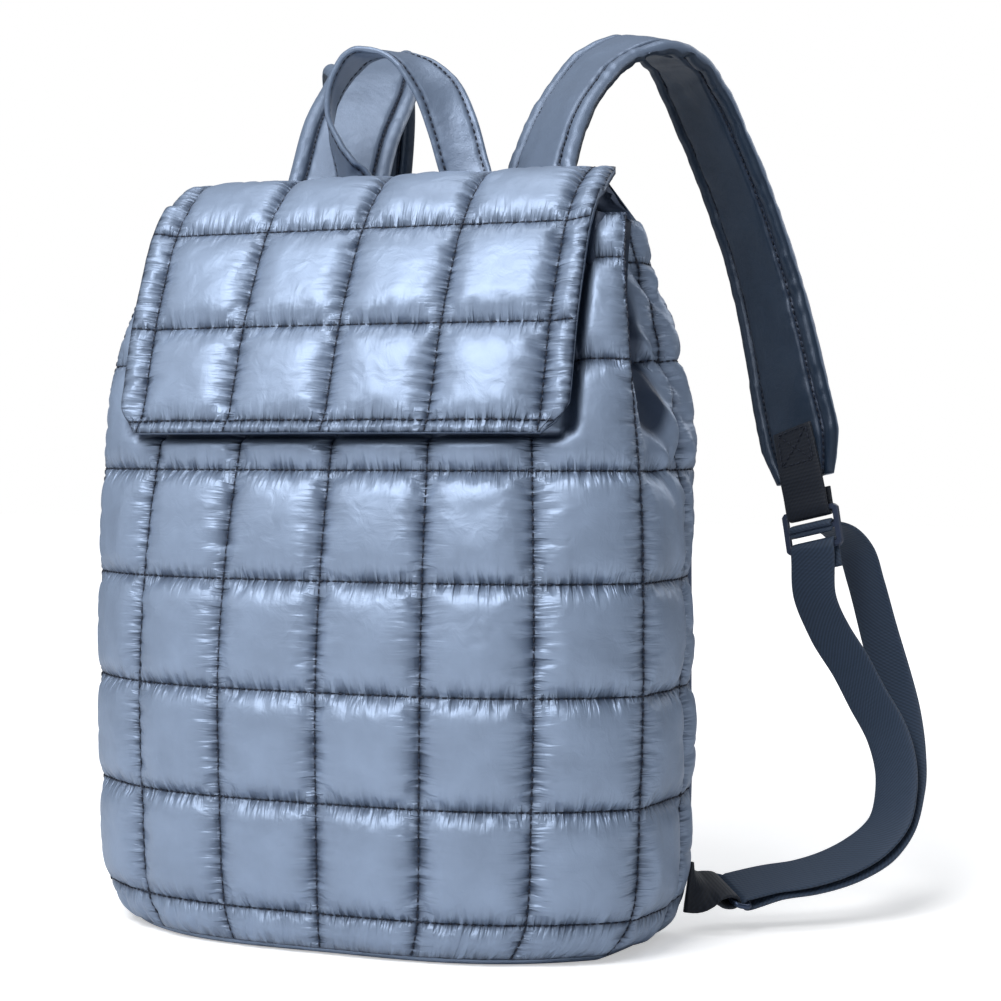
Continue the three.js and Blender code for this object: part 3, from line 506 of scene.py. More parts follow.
def quilt(name, seam, pinned, puff, cap, seed):
    """Filled outer sheet of a quilted piece, from its seam-level grid."""
    normal = grid_normals(seam)
    start = seam + normal * (0.55 * PILLOW * puff + 0.5 * ripple(seam, 9, seed) * puff)[..., None]
    wobble = 0.35 * ripple(seam, 7, seed + 1) * pinned
    start = start + normal * wobble[..., None]
    filled = fill_cloth(name, start, pinned, chosen("cloth_excess"), chosen("cloth_pressure"), cap)
    filled = soften(filled, pinned, 1)
    moved = filled - seam
    out = np.sum(moved * normal, -1, keepdims=True)
    flat = chosen("puff_height") / MM
    return seam + moved - normal * (out - flat * np.tanh(out / flat))


def press_of_flap(points):
    """How far the flap's edge presses a ditch into the body, from 0 to 1."""
    x, z = np.abs(points[..., 0]), points[..., 2]
    ahead = points[..., 1] < 0
    side = np.exp(-((x - FLAP_HALF_WIDTH + 3.5) / 3.4) ** 2) * ease(FLAP_LOW - 3, FLAP_LOW + 5, z)
    below = np.exp(-((z - FLAP_LOW + 0.5) / 2.2) ** 2)
    below = below * (1 - ease(FLAP_HALF_WIDTH - 9, FLAP_HALF_WIDTH - 3, x))
    return np.maximum(side, below) * ahead


def gather(points, q):
    """Inward depth in mm of the folds where the side is drawn in, and painted shade for the deep fold
    at its mouth.
    """
    high = points[..., 2]
    w = (np.abs(q)[None, :] - FRONT_CELLS) / SIDE_CELLS
    mouth = np.exp(-((w - MOUTH_PLACE) / MOUTH_SPREAD) ** 2) * ease(205, 262, high)
    turned = np.stack([points[..., 1] * 0.9 + high * 0.45, high * 0.9 - points[..., 1] * 0.5,
                       np.sign(points[..., 0]) * 9], -1)
    wrinkle = ripple(turned * np.array([1.0, 0.35, 1.0]), 8, 21)
    below_hem = 1 - 0.75 * ease(HEM_SEAM - 8, HEM_SEAM, high)
    side = ease(0.15, 0.4, w) * ease(180, 265, high) * below_hem
    low = ripple(turned * np.array([1.0, 0.5, 1.0]), 16, 23) * ease(-0.05, 0.3, w)
    depth = MOUTH_DEPTH * mouth - side * (1.8 + 6.0 * wrinkle) - (1 - ease(180, 240, high)) * 1.8 * low
    # Painted shade: near black in the mouth fold, standing in for the shadow deep in the fold.
    dark = np.exp(-((w - FOLD_PLACE) / MOUTH_SPREAD) ** 2) * ease(228, 262, high)
    return depth, dark


def make_body(material):
    """The quilted front and sides."""
    steps = CELL_STEPS
    seam, pinned, puff, heights, q = body_grid(steps)
    outer = quilt("BodyCloth", seam, pinned, puff, BODY_CAP, 3)
    normal = grid_normals(seam)
    covered = under_flap(seam)[..., None]
    moved = outer - seam
    out = np.sum(moved * normal, -1, keepdims=True)
    pressed = moved - normal * (out - np.clip(out, -1.0, 3.2))
    depth, dark = gather(seam, q)
    depth = depth + chosen("flap_press") / MM * press_of_flap(seam)
    outer = seam + moved * (1 - covered) + pressed * covered - normal * depth[..., None]
    skip = max(1, steps // 4)
    deepest = np.maximum(depth, 0)
    for _ in range(skip):
        for axis in (0, 1):
            deepest = np.maximum(deepest, np.maximum(np.roll(deepest, 1, axis),
                                                     np.roll(deepest, -1, axis)))
    lining = seam - normal * (WALL + deepest)[..., None]
    inner = lining[::skip, ::skip]
    if (seam.shape[0] - 1) % skip:
        inner = np.concatenate([inner, lining[-1:, ::skip]])
    points, faces = closed_sheet(outer, inner)
    marks, uv = quilt_marks(seam, pinned, inner.size // 3)
    # Painted shade: near black in the mouth fold and along the ditch beside the flap's edge, where
    # shadow falls; the inner sheet is painted fully dark.
    shade = np.maximum(ease(0.3, 0.7, dark), ease(0.1, 0.6, press_of_flap(seam)))
    marks["shade"] = np.append(shade.ravel(), np.ones(inner.size // 3))
    obj = cloth_mesh("QuiltedBody", points, faces, uv, marks)
    dress(obj, material, "shell_nylon", "quilted_shell", fill=0.8)
    return outer, pinned, heights, q


def flap_grid(steps):
    """Seam-level grid of the flap, its stitched points and its puff."""
    end = FLAP_TABLE[-1, 0]
    seam_x = 2 * FLAP_QUILT
    edge_row = FLAP_EDGE_ROW
    rows = np.concatenate([
        np.linspace(0, edge_row, 5, endpoint=False),
        np.linspace(edge_row, 1, steps - 3, endpoint=False),
        np.linspace(1, 2, steps, endpoint=False),
        np.linspace(2, 3, steps, endpoint=False),
        np.linspace(3, end, steps // 2),
    ])
    inner = np.linspace(-seam_x, seam_x, 4 * steps + 1)
    strip = np.linspace(0, 1, steps // 3 + 1)
    table = smooth_rows(FLAP_TABLE, rows)
    points = []
    for row, (y, z, drop, half) in zip(rows, table):
        rounding = 1 - math.sin(math.pi / 2 * min(1, row / 0.3))
        width = FLAP_HALF_WIDTH * half - FLAP_CORNER * rounding
        side = seam_x + (width - seam_x) * strip[1:]
        x = np.concatenate([-side[::-1], inner, side])
        back = drop * BODY_FRONT * np.abs(x / FLAP_HALF_WIDTH) ** 2.4
        points.append(np.stack([x, y * BODY_FRONT + back, np.full_like(x, z * HEM_TOP)], -1))
    points = np.array(points)
    number = np.arange(points.shape[1]) - len(strip) + 1
    on_column = (number % steps == 0) & (number >= 0) & (number <= 4 * steps)
    on_column[[0, -1]] = True
    on_row = np.min(np.abs(rows[:, None] - np.array([0, edge_row, 1, 2, 3, end])), 1) < 0.001
    pinned = on_row[:, None] | on_column[None, :]
    across = np.where((number >= 0) & (number <= 4 * steps), puff_shape(number % steps / steps), 0)
    edge = np.concatenate([[0], strip[1:]])
    across[:len(strip) - 1] = 0.4 * puff_shape(edge[:-1])
    across[-len(strip) + 1:] = 0.4 * puff_shape(edge[1:])
    up = np.where(rows < edge_row, 0.3 * puff_shape(rows / edge_row), puff_shape(rows % 1))
    up = np.where((rows > edge_row) & (rows < 1), puff_shape((rows - edge_row) / (1 - edge_row)), up)
    up = np.where(rows > 3, 0.4 * puff_shape((rows - 3) / (end - 3)), up)
    return points, pinned, up[:, None] * across[None, :]


def make_flap(material):
    """The quilted flap over the mouth."""
    steps = CELL_STEPS
    seam, pinned, puff = flap_grid(steps)
    outer = quilt("FlapCloth", seam, pinned, puff, FLAP_CAP, 9)
    normal = grid_normals(seam)
    skip = max(1, steps // 6)
    rim = ease(FLAP_HALF_WIDTH - 14, FLAP_HALF_WIDTH, np.abs(seam[..., 0]))
    rim = np.maximum(rim, 1 - ease(FLAP_LOW, FLAP_LOW + 12, seam[..., 2])) * (seam[..., 1] < 0)
    lift = normal * (chosen("flap_rim") / MM * rim)[..., None]
    outer = outer + lift
    low = seam - normal * FLAP_SEAM + lift
    rows = np.unique(np.append(np.arange(0, seam.shape[0], skip), seam.shape[0] - 1))
    columns = np.unique(np.append(np.arange(0, seam.shape[1], skip), seam.shape[1] - 1))
    points, faces = closed_sheet(outer, low[rows][:, columns])
    count = len(rows) * len(columns)
    marks, uv = quilt_marks(seam, pinned, count)
    # The flap's underside and edge wall are painted fully dark: partly its dark lining, partly painted
    # shade under the flap.
    marks["shade"] = np.append(np.zeros(seam.shape[0] * seam.shape[1]), np.ones(count))
    obj = cloth_mesh("QuiltedFlap", points, faces, uv, marks)
    dress(obj, material, "shell_nylon", "flap", fill=0.7)
    return outer, pinned


def curve_points(stations, at):
    """Points of one smooth curve through stations, at station places such as 2.5."""
    ends = np.vstack([2 * stations[0] - stations[1], stations, 2 * stations[-1] - stations[-2]])
    k = np.clip(at.astype(int), 0, len(stations) - 2)
    t = (at - k)[:, None]
    a, b, c, d = ends[k], ends[k + 1], ends[k + 2], ends[k + 3]
    ab, bc, cd = [np.sqrt(np.linalg.norm(v, axis=1, keepdims=True)) for v in (b - a, c - b, d - c)]
    from_b = ((b - a) / ab - (c - a) / (ab + bc) + (c - b) / bc) * bc
    from_c = ((c - b) / bc - (d - b) / (bc + cd) + (d - c) / cd) * bc
    return (b + from_b * t + (-3 * b + 3 * c - 2 * from_b - from_c) * t ** 2
            + (2 * b - 2 * c + from_b + from_c) * t ** 3)


def width_axis(turn, tilt):
    """Direction of a strip's width from its plan angle and its lean, in degrees."""
    a, b = np.radians(turn), np.radians(tilt)
    return np.stack([np.cos(a) * np.cos(b), np.sin(a) * np.cos(b), np.sin(b) + 0 * a], -1)


def lay_line(points, widths, spacing, width=None, thick=None):
    """A strip's middle line, evenly stepped, with its directions and shares of its sizes."""
    points, widths = np.array(points, float), np.array(widths, float)
    count = len(points)
    width = np.ones(count) if width is None else np.array(width, float)
    thick = np.ones(count) if thick is None else np.array(thick, float)
    dense = np.linspace(0, count - 1, 40 * count)
    along = curve_points(points, dense)
    run = np.append(0, np.cumsum(np.linalg.norm(np.diff(along, axis=0), axis=1)))
    steps = max(8, int(run[-1] / spacing))
    at = np.interp(np.linspace(0, run[-1], steps + 1), run, dense)
    p = curve_points(points, at)
    t = unit(np.gradient(p, axis=0))
    number = np.arange(count)
    w = np.stack([np.interp(at, number, widths[:, i]) for i in range(3)], -1)
    w = unit(w - t * np.sum(w * t, -1, keepdims=True))
    n = unit(np.cross(w, t))
    return {"p": p, "t": t, "w": w, "n": n, "s": np.linspace(0, run[-1], steps + 1),
            "width": np.interp(at, number, width), "thick": np.interp(at, number, thick)}


def mirror_line(line):
    """The same line on the bag's other side."""
    flip = np.array([-1.0, 1, 1])
    return {**line, **{key: line[key] * flip for key in "ptwn"}}


def strip_mesh(name, line, width, section, relief=None, marks=None):
    """Closed strip: a section of (share of width, height in mm) points carried along a line."""
    u, v = np.array(section).T
    rings, sides = len(line["p"]), len(u)
    across = u[None, :] * width * line["width"][:, None]
    height = v[None, :] * line["thick"][:, None]
    if relief is not None:
        height = height + relief(line["s"][:, None], u[None, :], np.sign(v)[None, :])
    points = (line["p"][:, None] + line["w"][:, None] * across[..., None]
              + line["n"][:, None] * height[..., None])
    at = np.arange(rings * sides).reshape(rings, sides)
    a, b = at[:-1], np.roll(at[:-1], -1, 1)
    c, d = np.roll(at[1:], -1, 1), at[1:]
    quads = np.stack([a.ravel(), b.ravel(), c.ravel(), d.ravel()], 1)
    flat = points.reshape(-1, 3)
    ends = np.array([points[0].mean(0), points[-1].mean(0)])
    first, last = len(flat), len(flat) + 1
    nxt = np.roll(np.arange(sides), -1)
    low = np.stack([at[0][nxt], at[0], np.full(sides, first)], 1)
    high = np.stack([at[-1], at[-1][nxt], np.full(sides, last)], 1)
    everything = np.concatenate([flat, ends])
    faces = [quads, low, high]
    volume = np.einsum("ij,ij->i", everything[quads[:, 0]],
                       np.cross(everything[quads[:, 1]], everything[quads[:, 2]])).sum()
    if volume < 0:
        faces = [f[:, ::-1] for f in faces]
    uv = np.stack([np.broadcast_to(across, (rings, sides)).ravel(),
                   np.repeat(line["s"], sides)], 1) * MM
    uv = np.concatenate([uv, uv[:1], uv[-1:]])
    given = {}
    for mark, values in (marks or {}).items():
        full = np.broadcast_to(values, (rings, sides)).ravel()
        given[mark] = np.concatenate([full, full[:1], full[-1:]])
    return cloth_mesh(name, everything, faces, uv=uv, marks=given)


def flat_section(thickness, count=9):
    """Section of plain webbing: flat faces and round selvedges."""
    half = thickness / 2
    u = np.linspace(-0.47, 0.47, count)
    top = [(x, half * (1 - 0.12 * (abs(x) > 0.4))) for x in u]
    round_end = [(0.492, half * 0.7), (0.5, 0.0), (0.492, -half * 0.7)]
    low = [(x, -y) for x, y in top[::-1]]
    other = [(-x, -y) for x, y in round_end]
    return top + round_end + low + other


def back_face(height):
    """Half width, sideways shift and y of the back panel's front face."""
    section = wall_section(min(height, HEM_TOP))
    over = min(1, max(0, (height - HEM_TOP) / (BACK_TOP - HEM_TOP)))
    seam_x, seam_y = section["seam"]
    return (seam_x + (BACK_TOP_HALF_WIDTH - seam_x) * over, section["shift"] * (1 - over),
            seam_y + (BACK_TOP_Y - seam_y) * over + CLEARANCE)


def strap_stations(splay):
    """Where the shoulder strap passes on the right side."""
    rooted = STRAP_THICKNESS * STRAP_TABLE[0, 6] / 2
    root = back_face(BACK_TOP - STRAP_ROOT)[2] + BACK_THICKNESS + CLEARANCE + rooted
    out, behind, up, turn, tilt, width, thick = STRAP_TABLE.T
    number = np.arange(len(out))
    start = out[SPLAY_ROW]
    swing = np.where(number > SPLAY_ROW, start + (out - start) * splay, out)
    height = np.where(number < 2, up * STRAP_ROOT / -up[0], up * STRAP_RISE)
    points = np.stack([STRAP_SPREAD + swing * STRAP_OUT, root + behind * STRAP_BEHIND,
                       BACK_TOP + height], -1)
    return points, width_axis(turn, tilt), width, thick


def slider_place(splay):
    """The slider's middle and its axes: up, across and towards the bag."""
    points, widths, _, _ = strap_stations(splay)
    count = len(points)
    tips = curve_points(points, np.array([count - 1 - 1e-3, count - 1 - 1e-6]))
    t = unit(tips[1] - tips[0])
    w = unit(widths[-1] - t * (widths[-1] @ t))
    n = unit(np.cross(w, t))
    facing = -n if n[1] > 0 else n
    return {"middle": points[-1] + t * SLIDER_DROP, "up": -t, "across": w, "facing": facing,
            "end": points[-1]}


def by_slider(place, high, ahead):
    """A point in the slider's own axes."""
    return place["middle"] + place["up"] * high + place["facing"] * ahead


def round_bar(place, high, start, stop, count):
    """Points round a bar of the slider."""
    return [by_slider(place, high + WRAP * math.sin(a), WRAP * math.cos(a))
            for a in np.radians(np.linspace(start, stop, count))]


def anchor_place():
    """Where the anchor tab leaves the back seam, and its ring's two bars."""
    half, _, y = back_face(ANCHOR_HEIGHT)
    seam = np.array([half, y + BACK_THICKNESS / 2, ANCHOR_HEIGHT])
    away = width_axis(ANCHOR_TURN, ANCHOR_DIP)
    bar = width_axis(INNER_RUN[-1, 3], LOOP_TILT)
    bar = unit(bar - away * (bar @ away))
    inner = seam + away * ANCHOR_REACH
    lift = unit(np.cross(bar, away))
    lift = -lift if lift[2] < 0 else lift
    return {"seam": seam, "away": away, "bar": bar, "lift": lift, "inner": inner,
            "outer": inner + away * (RING_HEIGHT - RING_WIRE)}


def round_ring(place, bar, start, stop, count):
    """Points round a bar of the ring."""
    return [bar + place["away"] * RING_WRAP * math.cos(a) + place["lift"] * RING_WRAP * math.sin(a)
            for a in np.radians(np.linspace(start, stop, count))]


def webbing_line(splay):
    """Middle line of the adjuster webbing on the right side."""
    place, anchor = slider_place(splay), anchor_place()
    points, widths = [], []

    def add(where, axis):
        for p in where:
            points.append(p)
            widths.append(axis)

    def run(rows):
        for out, behind, down, turn in rows:
            lying = np.clip((down - 0.6) / 0.3, 0, 1) * np.clip((behind - 0.1) / 0.4, 0, 1)
            m, o = place["middle"], anchor["outer"]
            share = np.array([down, behind, down])
            p = m + (o - m) * share + np.array([out * LOOP_OUT * splay, 0, 0])
            add([p], width_axis(turn, LOOP_TILT * lying))

    add([by_slider(place, -OUTER_BAR - TAIL_LENGTH, -WRAP),
         by_slider(place, -OUTER_BAR - TAIL_LENGTH / 2, -WRAP)], place["across"])
    add(round_bar(place, -OUTER_BAR, 180, 0, 5), place["across"])
    run(INNER_RUN)
    add(round_ring(anchor, anchor["outer"], 90, 270, 5), anchor["bar"])
    run(OUTER_RUN)
    add([by_slider(place, SLIDER_BAR, -3 * WRAP)], place["across"])
    add(round_bar(place, 0, 0, SLIDER_WRAP, 4), place["across"])
    add([by_slider(place, -SLIDER_BAR, WRAP)], place["across"])
    return lay_line(points, widths, 2.0)


def tab_line(splay):
    """Middle line of the webbing tab on the strap's end."""
    place = slider_place(splay)
    points, widths, width, thick = strap_stations(splay)
    line = lay_line(points, widths, 1.0, width, thick)
    lift = STRAP_THICKNESS / 2 + CLEARANCE + WEBBING_THICKNESS / 2
    route, axes = [], []
    for back in (1.0, 0.66, 0.33):
        k = int(np.argmin(np.abs(line["s"] - (line["s"][-1] - TAB_LENGTH * back))))
        out = line["n"][k] if line["n"][k][1] < 0 else -line["n"][k]
        route.append(line["p"][k] + out * lift * max(0.92, line["thick"][k]))
        axes.append(line["w"][k])
    rest = [by_slider(place, SLIDER_DROP + 1, 1.6 * WRAP),
            by_slider(place, (OUTER_BAR + SLIDER_DROP) / 2, 1.2 * WRAP)]
    rest += round_bar(place, OUTER_BAR, 0, -180, 5)
    rest += [by_slider(place, OUTER_BAR + TAIL_LENGTH / 2, -WRAP),
             by_slider(place, OUTER_BAR + TAIL_LENGTH, -WRAP)]
    return lay_line(route + rest, axes + [place["across"]] * len(rest), 1.5)


def anchor_line():
    """Middle line of the dark tab that holds the ring."""
    place = anchor_place()
    near = WEBBING_THICKNESS / 2 + CLEARANCE
    down = np.array([0, 0, -1.0])

    def at(share, lift):
        turned = ease(0, 1, share / ANCHOR_TWIST)
        seam = place["seam"] + np.array([near * (1 - turned), 0, 0])
        return (seam + place["away"] * ANCHOR_REACH * share + place["lift"] * lift,
                unit(down + (place["bar"] - down) * turned))

    rows = [at(0, 0), at(0.2, 0), at(0.4, near / 2), at(0.6, 1.5 * near), at(0.8, RING_WRAP)]
    rows += [(p, place["bar"]) for p in round_ring(place, place["inner"], 90, -90, 5)]
    rows += [at(0.8, -RING_WRAP), at(0.62, -near)]
    return lay_line([p for p, _ in rows], [w for _, w in rows], 1.2)


def strap_section():
    """Padded strap: a crowned middle between two stitched channels, and a roll at each edge."""
    u = np.concatenate([np.linspace(-0.485, -0.3, 12), np.linspace(-0.27, 0.27, 15),
                        np.linspace(0.3, 0.485, 12)])
    a = np.abs(u)
    middle = 4.5 - 0.6 * (a / STRAP_CHANNEL) ** 2
    roll = 3.9 * np.sqrt(np.clip(1 - ((a - 0.42) / 0.085) ** 2, 0, 1))
    valley = np.exp(-((a - STRAP_CHANNEL) / 0.02) ** 2)
    height = np.where(a < STRAP_CHANNEL, middle, np.maximum(roll, 2.2)) - 1.9 * valley
    top = list(zip(u, height))
    tip = [(0.5, 0.9), (0.503, 0.0), (0.5, -0.9)]
    low = [(x, -y) for x, y in top[::-1]]
    return top + tip + low + [(-x, -y) for x, y in tip]


def strap_relief(seed, apex):
    """Puckers along the strap's channels and edges, and crumples inside its bend."""
    def relief(s, u, side):
        s, u, side = np.broadcast_arrays(s, u, side)
        place = np.stack([s / 5.5, np.sign(u) * 3 + side * 7.0, 0 * s + seed], -1)
        pucker = ripple(place, 1.0, seed)
        near = np.exp(-((np.abs(u) - STRAP_CHANNEL) / 0.07) ** 2) + 0.8 * (np.abs(u) > 0.4)
        broad = ripple(np.stack([s / 22, u * 5, side * 5.0], -1), 1.0, seed + 2)
        crush = np.exp(-((s - apex) / 32) ** 2) * (side < 0)
        fold = ripple(np.stack([s / 9 + u * 1.5, u * 2, 0 * s], -1), 1.0, seed + 4)
        return side * (0.9 * pucker * near + 0.6 * broad + 3.6 * crush * fold)
    return relief


def make_strap(side, splay, material):
    """A padded shoulder strap; returns its line for the stitching."""
    points, widths, width, thick = strap_stations(splay)
    line = lay_line(points, widths, 2.0, width, thick)
    if side == "left":
        line = mirror_line(line)
    section = strap_section()
    apex = int(np.argmax(line["p"][:, 2]))
    up = 1.0 if line["n"][apex][2] > 0 else -1.0
    u, v = np.array(section).T
    near = np.exp(-((np.abs(u) - STRAP_CHANNEL) / 0.018) ** 2)
    # Mark of the inner face, which gets the darker colour: its own cloth and painted shade.
    inner = (np.sign(v) * up < 0).astype(float)
    relief = strap_relief(5 if side == "right" else 6, line["s"][apex])
    obj = strip_mesh("ShoulderStrap_" + side, line, STRAP_WIDTH, section,
                     lambda s, u, v: up * relief(s, u, v * up),
                     {"seam": near[None, :], "inner": inner[None, :]})
    dress(obj, material, "strap_fabric", "strap_" + side, fill=0.6)
    return line


def make_handle(material):
    """The carrying loop on the back panel's top."""
    stand_off = BACK_THICKNESS + CLEARANCE + HANDLE_THICKNESS / 2
    points = []
    for x, z, _ in HANDLE_TABLE:
        height = BACK_TOP + z * HANDLE_RISE
        face = back_face(min(height, BACK_TOP))
        points.append((x * HANDLE_SPREAD, face[2] + stand_off, height))
    line = lay_line(points, width_axis(HANDLE_TABLE[:, 2], 0), 1.5)
    u = np.linspace(-0.47, 0.47, 25)
    a = np.abs(u)
    height = 1.45 - 0.75 * np.exp(-((a - HANDLE_CHANNEL) / 0.03) ** 2)
    top = list(zip(u, height))
    tip = [(0.495, 0.8), (0.5, 0.0), (0.495, -0.8)]
    section = top + tip + [(x, -y) for x, y in top[::-1]] + [(-x, -y) for x, y in tip]

    def relief(s, u, side):
        s, u, side = np.broadcast_arrays(s, u, side)
        pucker = ripple(np.stack([s / 4.5, np.sign(u) * 3, side * 3.0], -1), 1.0, 8)
        broad = ripple(np.stack([s / 16, u * 3, 0 * s], -1), 1.0, 9)
        return 0.35 * side * pucker * (np.abs(u) > 0.28) + 0.5 * broad

    near = np.exp(-((np.abs(np.array(section)[:, 0]) - HANDLE_CHANNEL) / 0.025) ** 2)
    zero = np.zeros((1, len(section)))
    obj = strip_mesh("CarryingLoop", line, HANDLE_WIDTH, section, relief,
                     {"seam": near[None, :], "inner": zero})
    dress(obj, material, "strap_fabric", "top_handle")
    return line


def make_webbing(material, dark):
    """Adjuster webbing, strap tabs and anchor tabs of both sides."""
    section = flat_section(WEBBING_THICKNESS)
    for side, splay in (("right", 1.0), ("left", LEFT_SPLAY)):
        turn = (lambda x: x) if side == "right" else mirror_line
        for name, line, node, finish in (
            ("AdjusterWebbing_", webbing_line(splay), "adjuster_webbing_", material),
            ("StrapTab_", tab_line(splay), "strap_tab_", dark),
            ("AnchorTab_", anchor_line(), "anchor_tab_", dark),
        ):
            obj = strip_mesh(name + side, turn(line), WEBBING_WIDTH, section)
            dress(obj, finish, "webbing", node + side)


def make_back(material):
    """The padded back panel, with a stitched border."""
    heights = np.concatenate([np.linspace(SHELL_BOTTOM, HEM_TOP, 150, endpoint=False),
                              np.linspace(HEM_TOP, BACK_TOP, 10)])
    share = np.linspace(-1, 1, 121)
    front, rear, seams = [], [], []
    for z in heights:
        half, shift, y = back_face(z)
        x = shift + half * share
        depth = BACK_THICKNESS * (1 - 0.35 * np.abs(share) ** 6)
        front.append(np.stack([x, np.full_like(x, y), np.full_like(x, z)], -1))
        rear.append(np.stack([x, y + depth, np.full_like(x, z)], -1))
        seams.append(np.minimum(half * (1 - np.abs(share)),
                                np.minimum(z - SHELL_BOTTOM, BACK_TOP - z)))
    front, rear, inset = np.array(front), np.array(rear), np.array(seams)
    line = np.exp(-((inset - 9) / 1.6) ** 2)
    pucker = ripple(rear, 5.5, 12) * np.exp(-np.abs(inset - 9) / 5)
    broad = ripple(rear, 45, 13)
    swell = ease(9, 40, inset)
    rear[..., 1] += -1.6 * line + 0.7 * pucker + 0.9 * swell * (1 + broad) + 0.5
    rear[:, [0, -1], 1] = front[:, [0, -1], 1] + 3.0
    points, faces = closed_sheet(rear[:, ::-1], front[::8, ::-1][:, ::8])
    marks = {"seam": np.append(line[:, ::-1].ravel(), np.zeros(len(points) - rear.size // 3))}
    obj = cloth_mesh("BackPanel", points, faces, marks=marks)
    dress(obj, material, "back_fabric", "back_panel", fill=0.5)


def make_base(material):
    """The flat base with its rolled edge."""
    section = wall_section(SHELL_BOTTOM)
    q = np.linspace(-LAST_CELL, LAST_CELL, 181)
    outline = wall_points(section, q)[:, :2]
    rear = back_face(SHELL_BOTTOM)[2] + BACK_THICKNESS
    seam_x = section["seam"][0]
    back = np.stack([np.linspace(seam_x, -seam_x, 60), np.full(60, rear)], -1)
    outline = np.concatenate([outline, back])
    length = np.linalg.norm(outline, axis=1, keepdims=True)
    rings = []
    for inset, z in ((24, 0.0), (9, 0.0), (6, 0.3), (4, 0.9), (3, 1.6), (2.4, 2.4), (2.2, 3.0)):
        flat = outline * (length - inset) / length
        rings.append(np.column_stack([flat, np.full(len(flat), z)]))
    rings = np.array(rings)
    count = rings.shape[1]
    at = np.arange(rings.shape[0] * count).reshape(rings.shape[0], count)
    nxt = np.roll(at, -1, 1)
    quads = np.stack([at[:-1].ravel(), nxt[:-1].ravel(), nxt[1:].ravel(), at[1:].ravel()], 1)
    low, high = at.size, at.size + 1
    under = np.stack([nxt[0], at[0], np.full(count, low)], 1)
    over = np.stack([at[-1], nxt[-1], np.full(count, high)], 1)
    points = np.concatenate([rings.reshape(-1, 3), [[0, 0, 0], [0, 0, BASE_THICKNESS]]])
    far = np.full(len(points), 40.0)
    obj = cloth_mesh("BasePanel", points, [quads, under, over], points[:, :2] * MM,
                     {"to_row": far, "to_column": far, "shade": np.zeros(len(points))})
    dress(obj, material, "shell_nylon", "base_panel")


def stitch_shape(sides=5):
    """One small thread stitch lying along x, as points and faces."""
    rings = [(-0.32, 0.8), (0.0, 1.0), (0.32, 0.8)]
    turn = np.arange(sides) * 2 * math.pi / sides
    points = [(-0.5, 0, 0)]
    for x, r in rings:
        points += [(x, r * math.cos(a), r * math.sin(a)) for a in turn]
    points.append((0.5, 0, 0))
    faces = []
    for i in range(sides):
        j = (i + 1) % sides
        faces.append((0, 1 + j, 1 + i))
        for k in range(len(rings) - 1):
            a, b = 1 + k * sides, 1 + (k + 1) * sides
            faces += [(a + i, a + j, b + j), (a + i, b + j, b + i)]
        a = 1 + (len(rings) - 1) * sides
        faces.append((a + i, a + j, len(points) - 1))
    return np.array(points), np.array(faces)


def sew(name, paths, material, node_slot="shell_nylon", lift=0.25):
    """Rows of stitches along paths of points and outward directions, as one piece."""
    shape, shape_faces = stitch_shape()
    pitch, radius = chosen("stitch_pitch") / MM, chosen("stitch_radius") / MM
    long = STITCH_SHARE * pitch
    all_points, all_faces, count = [], [], 0
    for path, normal in paths:
        run = np.append(0, np.cumsum(np.linalg.norm(np.diff(path, axis=0), axis=1)))
        if run[-1] < 2 * pitch:
            continue
        at = np.arange(pitch / 2, run[-1] - pitch / 2, pitch)
        point = np.stack([np.interp(at, run, path[:, i]) for i in range(3)], -1)
        ahead = np.stack([np.interp(at + 1.2, run, path[:, i]) for i in range(3)], -1)
        n = unit(np.stack([np.interp(at, run, normal[:, i]) for i in range(3)], -1))
        t = unit(ahead - point + 1e-9)
        side = unit(np.cross(n, t))
        size = shape * np.array([long, radius, radius])
        made = (point[:, None] + n[:, None] * lift + t[:, None] * size[None, :, :1]
                + side[:, None] * size[None, :, 1:2] + n[:, None] * size[None, :, 2:3])
        all_points.append(made.reshape(-1, 3))
        offset = count + np.arange(len(at))[:, None, None] * len(shape)
        all_faces.append((shape_faces[None] + offset).reshape(-1, 3))
        count += made.shape[0] * made.shape[1]
    obj = cloth_mesh(name, np.concatenate(all_points), [np.concatenate(all_faces)])
    return dress(obj, material, node_slot)


def split_paths(path, normal, keep):
    """The stretches of a path where keep is true."""
    edges = np.flatnonzero(np.diff(np.concatenate([[0], keep.astype(int), [0]])))
    return [(path[a:b], normal[a:b]) for a, b in zip(edges[::2], edges[1::2]) if b - a > 3]


def grid_stitches(outer, rows, columns, keep):
    """Stitch paths along a quilted grid's seam rows and columns."""
    normal = grid_normals(outer)
    for _ in range(6):
        normal[1:-1, 1:-1] = unit(normal[1:-1, 1:-1] + normal[:-2, 1:-1] + normal[2:, 1:-1]
                                  + normal[1:-1, :-2] + normal[1:-1, 2:])
    paths = []
    for i in rows:
        paths += split_paths(outer[i], normal[i], keep[i])
    for j in columns:
        paths += split_paths(outer[:, j], normal[:, j], keep[:, j])
    return paths


def strap_stitches(line, width, place, half):
    """Stitch paths along a strip's two channels, on both of its faces."""
    paths = []
    for u in (-place, place):
        for side in (-1.0, 1.0):
            across = line["w"] * (u * width * line["width"])[:, None]
            height = line["n"] * (side * half * line["thick"])[:, None]
            paths.append((line["p"] + across + height, line["n"] * side))
    return paths


def new_material(name, **sockets):
    """A node material whose shader has the given socket values; returns it with its nodes."""
    material = bpy.data.materials.new(name)
    material.use_nodes = True
    nodes, links = material.node_tree.nodes, material.node_tree.links
    shader = nodes["Principled BSDF"]
    for socket, value in sockets.items():
        shader.inputs[socket.replace("_", " ")].default_value = value
    return material, nodes, links, shader


